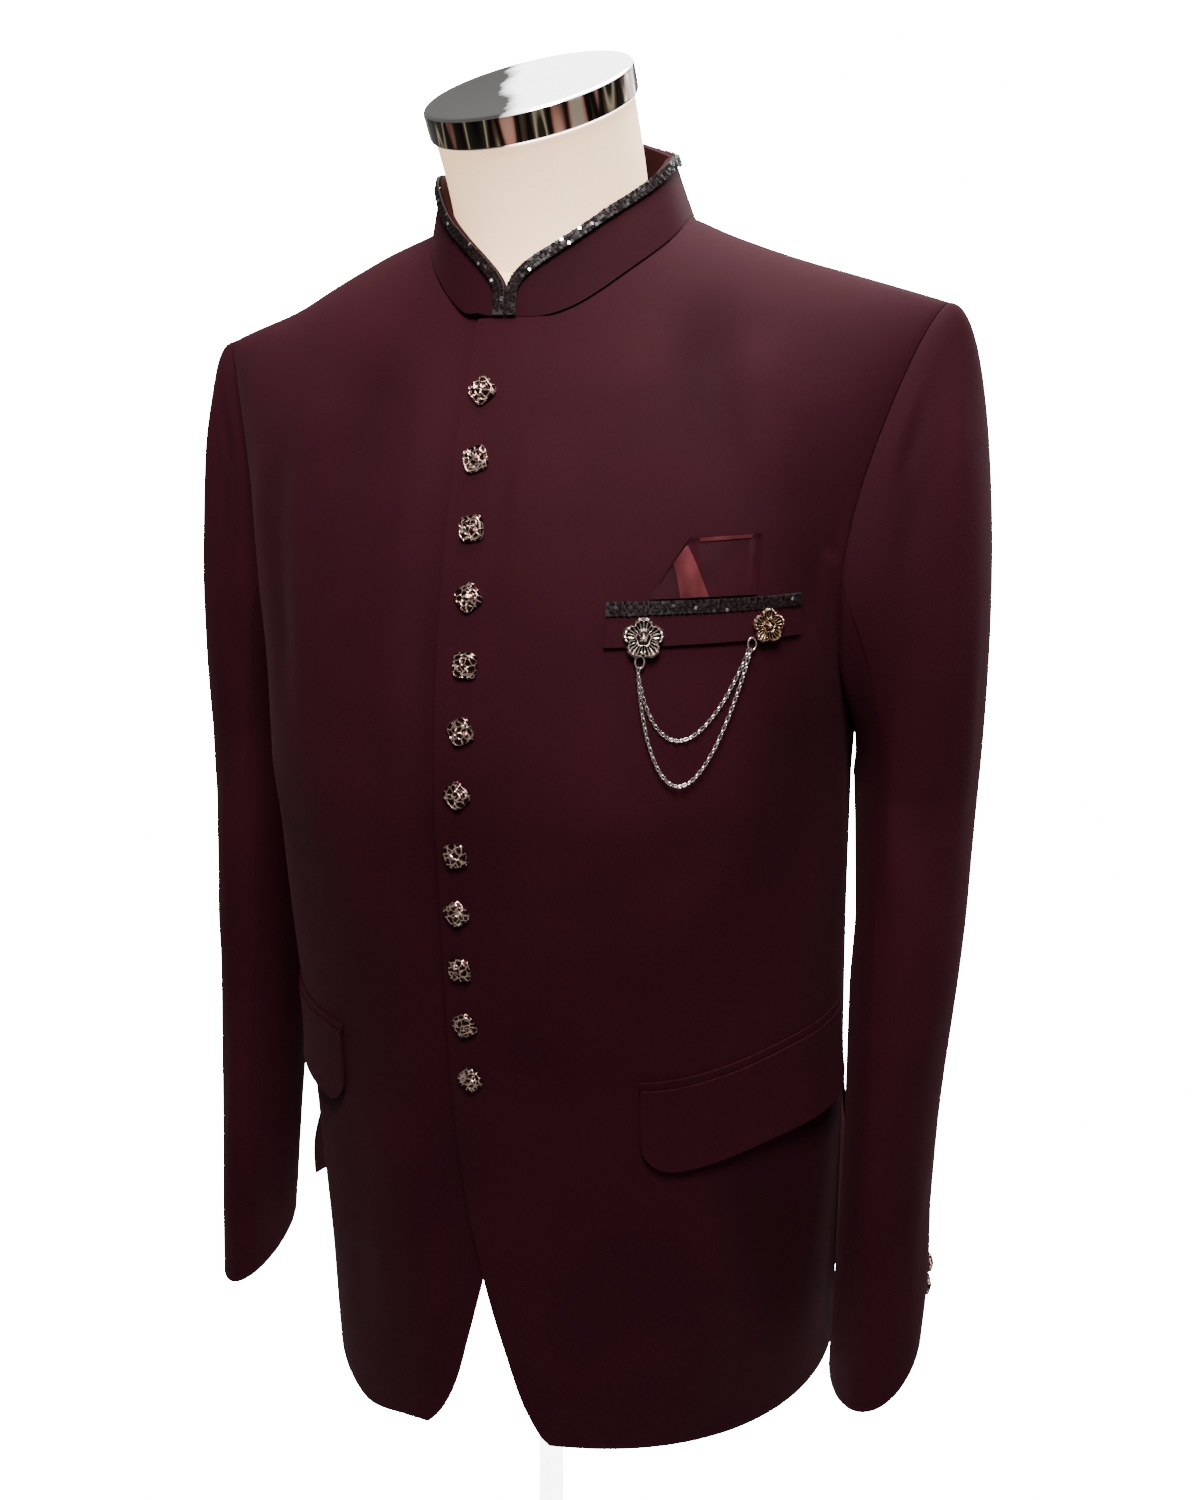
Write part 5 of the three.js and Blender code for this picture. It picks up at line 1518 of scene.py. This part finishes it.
# The cover glows a little: painted light that stands in for a bright fill on the neck.
shader.inputs["Emission Color"].default_value = (1, 0.66, 0.38, 1)
shader.inputs["Emission Strength"].default_value = 1.6
bump(nodes, links, shader, noise(nodes, links, 1300, 2).outputs["Fac"], 0.3, 0.0003)
shader.inputs["Sheen Weight"].default_value = 0.2
CAP_CHROME, nodes, links, shader = new_material("cap_chrome", (0.82, 0.82, 0.83), 0.1, 1.0)
bump(nodes, links, shader, noise(nodes, links, 30, 2).outputs["Fac"], 0.06, 0.0006)
# The cap's colour is a painted reflection: dark grey on one side of a line across its top and white beyond,
# with a wobbly border, and it glows with that same colour.
where = nodes.new("ShaderNodeTexCoord")
across = nodes.new("ShaderNodeVectorMath")
across.operation = "DOT_PRODUCT"
across.inputs[1].default_value = (0.93, 0.37, 0.016)
links.new(where.outputs["Object"], across.inputs[0])
reflection_wobble = noise(nodes, links, 45, 4)
split = nodes.new("ShaderNodeMath")
split.operation = "MULTIPLY_ADD"
split.inputs[1].default_value = 0.02
links.new(reflection_wobble.outputs["Fac"], split.inputs[0])
links.new(across.outputs["Value"], split.inputs[2])
painted_reflection = tones(nodes, links, split.outputs["Value"], (0.019, 0.018, 0.017), (1, 1, 1), 0.0, 0.009)
links.new(painted_reflection, shader.inputs["Base Color"])
links.new(painted_reflection, shader.inputs["Emission Color"])
shader.inputs["Emission Strength"].default_value = 5
CAP_RIM, nodes, links, shader = new_material("cap_rim", (0.4, 0.36, 0.28), 0.12, 1.0)
# The rim's colour is a painted reflection: dark and bright bands, one of them rosy like the jacket, with a
# faint glow.
reflection_bands = noise(nodes, links, 1, 1)
turned = nodes.new("ShaderNodeMapping")
turned.vector_type = "TEXTURE"
turned.inputs["Rotation"].default_value = (math.radians(28.6), 0, 0)
turned.inputs["Scale"].default_value = (0.011, 0.011, 0.12)
where = nodes.new("ShaderNodeTexCoord")
links.new(where.outputs["Object"], turned.inputs["Vector"])
links.new(turned.outputs["Vector"], reflection_bands.inputs["Vector"])
ramp = nodes.new("ShaderNodeValToRGB")
RIM_REFLECTION_TONES = (
    (0.3, (0.006, 0.005, 0.004)),
    (0.42, (0.03, 0.028, 0.018)),
    (0.455, (0.5, 0.42, 0.28)),
    (0.485, (0.1, 0.065, 0.04)),
    (0.53, (0.008, 0.006, 0.005)),
    (0.6, (0.02, 0.016, 0.013)),
    (0.64, (0.6, 0.26, 0.19)),
    (0.69, (0.6, 0.5, 0.38)),
)
for k, (place, tone) in enumerate(RIM_REFLECTION_TONES):
    stop = ramp.color_ramp.elements[k] if k < 2 else ramp.color_ramp.elements.new(place)
    stop.position = place
    stop.color = (*tone, 1)
links.new(reflection_bands.outputs["Fac"], ramp.inputs["Fac"])
links.new(ramp.outputs["Color"], shader.inputs["Base Color"])
links.new(ramp.outputs["Color"], shader.inputs["Emission Color"])
shader.inputs["Emission Strength"].default_value = 0.35
STAND_WHITE_GLOW, nodes, links, shader = new_material("stand_paint", (0.95, 0.95, 0.95), 0.4)
# The stand glows white: painted light, so that it stays pale in the shadow under the jacket.
shader.inputs["Emission Color"].default_value = (1, 1, 1, 1)
shader.inputs["Emission Strength"].default_value = 7
bump(nodes, links, shader, noise(nodes, links, 900, 2).outputs["Fac"], 0.2, 0.0002)


# %% Rings into a body


def ring_body(name, rings, material, sharp=50):
    """A closed body through rings of points, capped at both ends."""
    count = len(rings[0])
    places = np.concatenate(rings)
    faces = []
    for i in range(len(rings) - 1):
        for k in range(count):
            a0, a1 = i * count + k, i * count + (k + 1) % count
            faces.append([a0, a1, a1 + count, a0 + count])
    faces.append(list(range(count - 1, -1, -1)))
    faces.append([(len(rings) - 1) * count + k for k in range(count)])
    return outward(mesh_object(name, places, faces, material, sharp))


FORM = {"bottom": 135, "shoulder": 5, "chest": 7, "hip": 4}


def torso_ring(up, count=160):
    quarter = np.arange(count) / count * 4
    ring = np.zeros((count, 3))
    for side, here in ((1, quarter <= 2), (-1, quarter > 2)):
        girth = np.clip(np.where(quarter <= 2, quarter, 4 - quarter), 0.001, 1.999)[here]
        rise = math.radians(max(up - 1, 0) * 90)
        ease = FORM["shoulder"] + FORM["chest"] * math.cos(rise) ** 1.4 + FORM["hip"] * smooth(1, 0.5, up)
        ups = np.full(girth.shape, up)
        place = body_point(side, girth, ups) - body_normal(side, girth, ups) * ease
        narrow = smooth(0, 60, (up - 1) * 90) * smooth(0.5, 1, np.abs(place[:, 0]) / SHOULDER["half"])
        place[:, 0] *= 1 - 0.1 * narrow
        ring[here] = place
    return ring


rises = np.concatenate([np.linspace(0, 75, 26), np.linspace(77, 87, 6)])
ups = np.concatenate([np.linspace(FORM["bottom"] / CHEST, 0.99, 20), 1 + rises / 90])
torso_rings = [torso_ring(float(up)) for up in ups]
torso_rings[0][:, 2] = FORM["bottom"]
torso = ring_body("form_torso_cover", torso_rings, FORM_COVER_GLOWING)
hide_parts("form_torso")
print("torso made")

# %% The neck and its cap
CAP = {"x": -1, "y": -42, "h": 775, "radius": 57, "thick": 15, "forward": 28.6, "side": -3.8}
CAP_TURN = (
    Matrix.Rotation(math.radians(CAP["forward"]), 3, "X") @ Matrix.Rotation(math.radians(CAP["side"]), 3, "Y")
).to_quaternion()


NECK_FORM = {"radius": 54.5, "spread": 0.06, "foot": (0, 8, 640)}


def neck_rings(count=96, tall=40):
    top = Vector((CAP["x"], CAP["y"], CAP["h"])) - CAP_TURN @ Vector((0, 0, CAP["thick"] + SEAM_GAP))
    foot = Vector(NECK_FORM["foot"])
    rings = []
    for i in range(tall + 1):
        t = i / tall
        turn = Matrix.Identity(3).to_quaternion().slerp(CAP_TURN, float(smooth(0.1, 1, t)))
        centre = foot.lerp(top, t)
        centre.y = mix(foot.y, top.y, t**2.4)
        radius = NECK_FORM["radius"] * (1 + NECK_FORM["spread"] * (1 - t) ** 2)
        angles = np.arange(count) / count * math.tau
        spokes = [Vector((radius * math.cos(q), radius * math.sin(q), 0)) for q in angles]
        rings.append([tuple(turn @ spoke + centre) for spoke in spokes])
    return [np.array(r) for r in rings]


neck = ring_body("form_neck", neck_rings(), FORM_COVER_GLOWING)


def lathe(name, profile, seat, turn, material, sides=128):
    """A round body from (radius, height) pairs, turned and set on its place."""
    rings = []
    for radius, high in profile:
        angles = np.arange(sides) / sides * math.tau
        spokes = [Vector((radius * math.cos(q), radius * math.sin(q), high)) for q in angles]
        ring = [turn @ spoke + Vector(seat) for spoke in spokes]
        rings.append(np.array([tuple(p) for p in ring]))
    return ring_body(name, rings, material, 30)


def soft_edge(radius, low, high, edge, steps=6):
    """The profile of a disc with a rounded upper and lower rim."""
    rim = []
    for i in range(steps + 1):
        q = math.radians(90 * i / steps)
        rim.append((radius - edge + edge * math.sin(q), low + edge - edge * math.cos(q)))
    for i in range(steps + 1):
        q = math.radians(90 * i / steps)
        rim.append((radius - edge + edge * math.cos(q), high - edge + edge * math.sin(q)))
    return rim


cap_seat = (CAP["x"], CAP["y"], CAP["h"])
cap_edge = soft_edge(CAP["radius"], -CAP["thick"], 0, 2.2)
cap_profile = [(0.5, -CAP["thick"])] + cap_edge + [(50, -0.4), (0.5, -0.4)]
cap = lathe("metal_cap", cap_profile, cap_seat, CAP_TURN, CAP_CHROME)
cap.data.materials.append(CAP_RIM)
cap_axis = CAP_TURN @ Vector((0, 0, 1))
for face in cap.data.polygons:
    face.material_index = int(abs(face.normal.dot(cap_axis)) < 0.5)
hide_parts("neck_cap")
print("neck and cap made")

# %% Stand
UPRIGHT = Matrix.Identity(3).to_quaternion()
floor_level = -HEM_ABOVE_FLOOR
base_profile = [(0.5, 0), (149, 0), (150, 1), (150, 7.7), (149, 9.6), (146, 11.9), (138, 14), (0.5, 14)]
base = lathe("stand_plate", base_profile, (0, 0, floor_level), UPRIGHT, STAND_WHITE_GLOW)
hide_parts("stand_base")
pole_top = HEM_ABOVE_FLOOR + FORM["bottom"] - SEAM_GAP
pole_profile = [
    (0.5, 14.3), (18, 14.3), (18, 22), (9, 28),
    (9, pole_top - 10), (21.6, pole_top - 6), (21.6, pole_top), (0.5, pole_top),
]
pole = lathe("stand_rod", pole_profile, (0, 0, floor_level), UPRIGHT, STAND_WHITE_GLOW, 64)
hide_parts("stand_pole")
print("stand made")

# %% [markdown]
# What each cloth piece was cut from. The flat size is about the rectangle that the pattern piece fits
# in, and the area is measured on the piece, because a front or a sleeve is far from a rectangle.

CUTS = {
    "front_left": (0.30, 0.74, 0.186, "hung"),
    "front_right": (0.29, 0.74, 0.19, "hung"),
    "back_left": (0.245, 0.74, 0.154, "hung"),
    "back_right": (0.245, 0.74, 0.154, "hung"),
    "sleeve_top_left": (0.20, 0.66, 0.08, "hung"),
    "sleeve_top_right": (0.19, 0.68, 0.076, "hung"),
    "sleeve_under_left": (0.15, 0.60, 0.064, "hung"),
    "sleeve_under_right": (0.15, 0.62, 0.062, "hung"),
    "collar": (0.0615, 0.494, 0.018, "stretched"),
    "hip_flap_left": (0.056, 0.155, 0.0086, "hung"),
    "hip_flap_right": (0.056, 0.155, 0.0086, "hung"),
}
for name, (wide, long, area, held) in CUTS.items():
    measured = sum(p.area for p in made[name].data.polygons) / 2
    print(name, "cut", area, "measured", round(measured, 4))

# %% [markdown]
# Light and floor. The photograph is evenly lit from in front and above, on white. A big soft light
# above gives the shoulders their sheen and lets the lower part fall off, and a pale floor lifts the shadows.

# %% Floor and lights
PAPER_WHITE = 45.0
ROOM_LIGHT = 0.27
world = bpy.data.worlds.new("studio")
world.use_nodes = True
tree = world.node_tree
tree.nodes["Background"].inputs["Color"].default_value = (1, 0.97, 0.96, 1)
tree.nodes["Background"].inputs["Strength"].default_value = ROOM_LIGHT
paper = tree.nodes.new("ShaderNodeBackground")
paper.inputs["Strength"].default_value = PAPER_WHITE
seen = tree.nodes.new("ShaderNodeLightPath")
either = tree.nodes.new("ShaderNodeMixShader")
tree.links.new(seen.outputs["Is Camera Ray"], either.inputs["Fac"])
tree.links.new(tree.nodes["Background"].outputs["Background"], either.inputs[1])
tree.links.new(paper.outputs["Background"], either.inputs[2])
tree.links.new(either.outputs["Shader"], tree.nodes["World Output"].inputs["Surface"])
scene.world = world

floor_white, nodes, links, shader = new_material("floor_white", (0.35, 0.35, 0.35), 0.9)
seen = nodes.new("ShaderNodeLightPath")
glow = nodes.new("ShaderNodeMath")
glow.operation = "MULTIPLY"
glow.inputs[1].default_value = PAPER_WHITE
links.new(seen.outputs["Is Camera Ray"], glow.inputs[0])
links.new(glow.outputs["Value"], shader.inputs["Emission Strength"])
shader.inputs["Emission Color"].default_value = (1, 1, 1, 1)
bpy.ops.mesh.primitive_plane_add(size=14, location=(0, 0, 0))
floor = bpy.context.object
floor.name = "floor"
floor.data.materials.append(floor_white)


def area_light(name, place, aim, size, watts, color=(1, 1, 1)):
    data = bpy.data.lights.new(name, "AREA")
    data.size = size
    data.energy = watts
    data.color = color
    light = bpy.data.objects.new(name, data)
    scene.collection.objects.link(light)
    light.location = place
    light.rotation_mode = "QUATERNION"
    light.rotation_quaternion = (Vector(aim) - Vector(place)).to_track_quat("-Z", "Y")
    return light


area_light("key", (0.25, -0.72, 1.72), (0, 0, 1.0), 0.4, 26, (1, 0.96, 0.95))
area_light("top", (0.15, 0.1, 1.95), (0, 0, 1.1), 0.8, 30, (1, 0.98, 0.97))
area_light("rim", (0.7, 1.3, 1.7), (0, 0, 0.9), 0.8, 16)
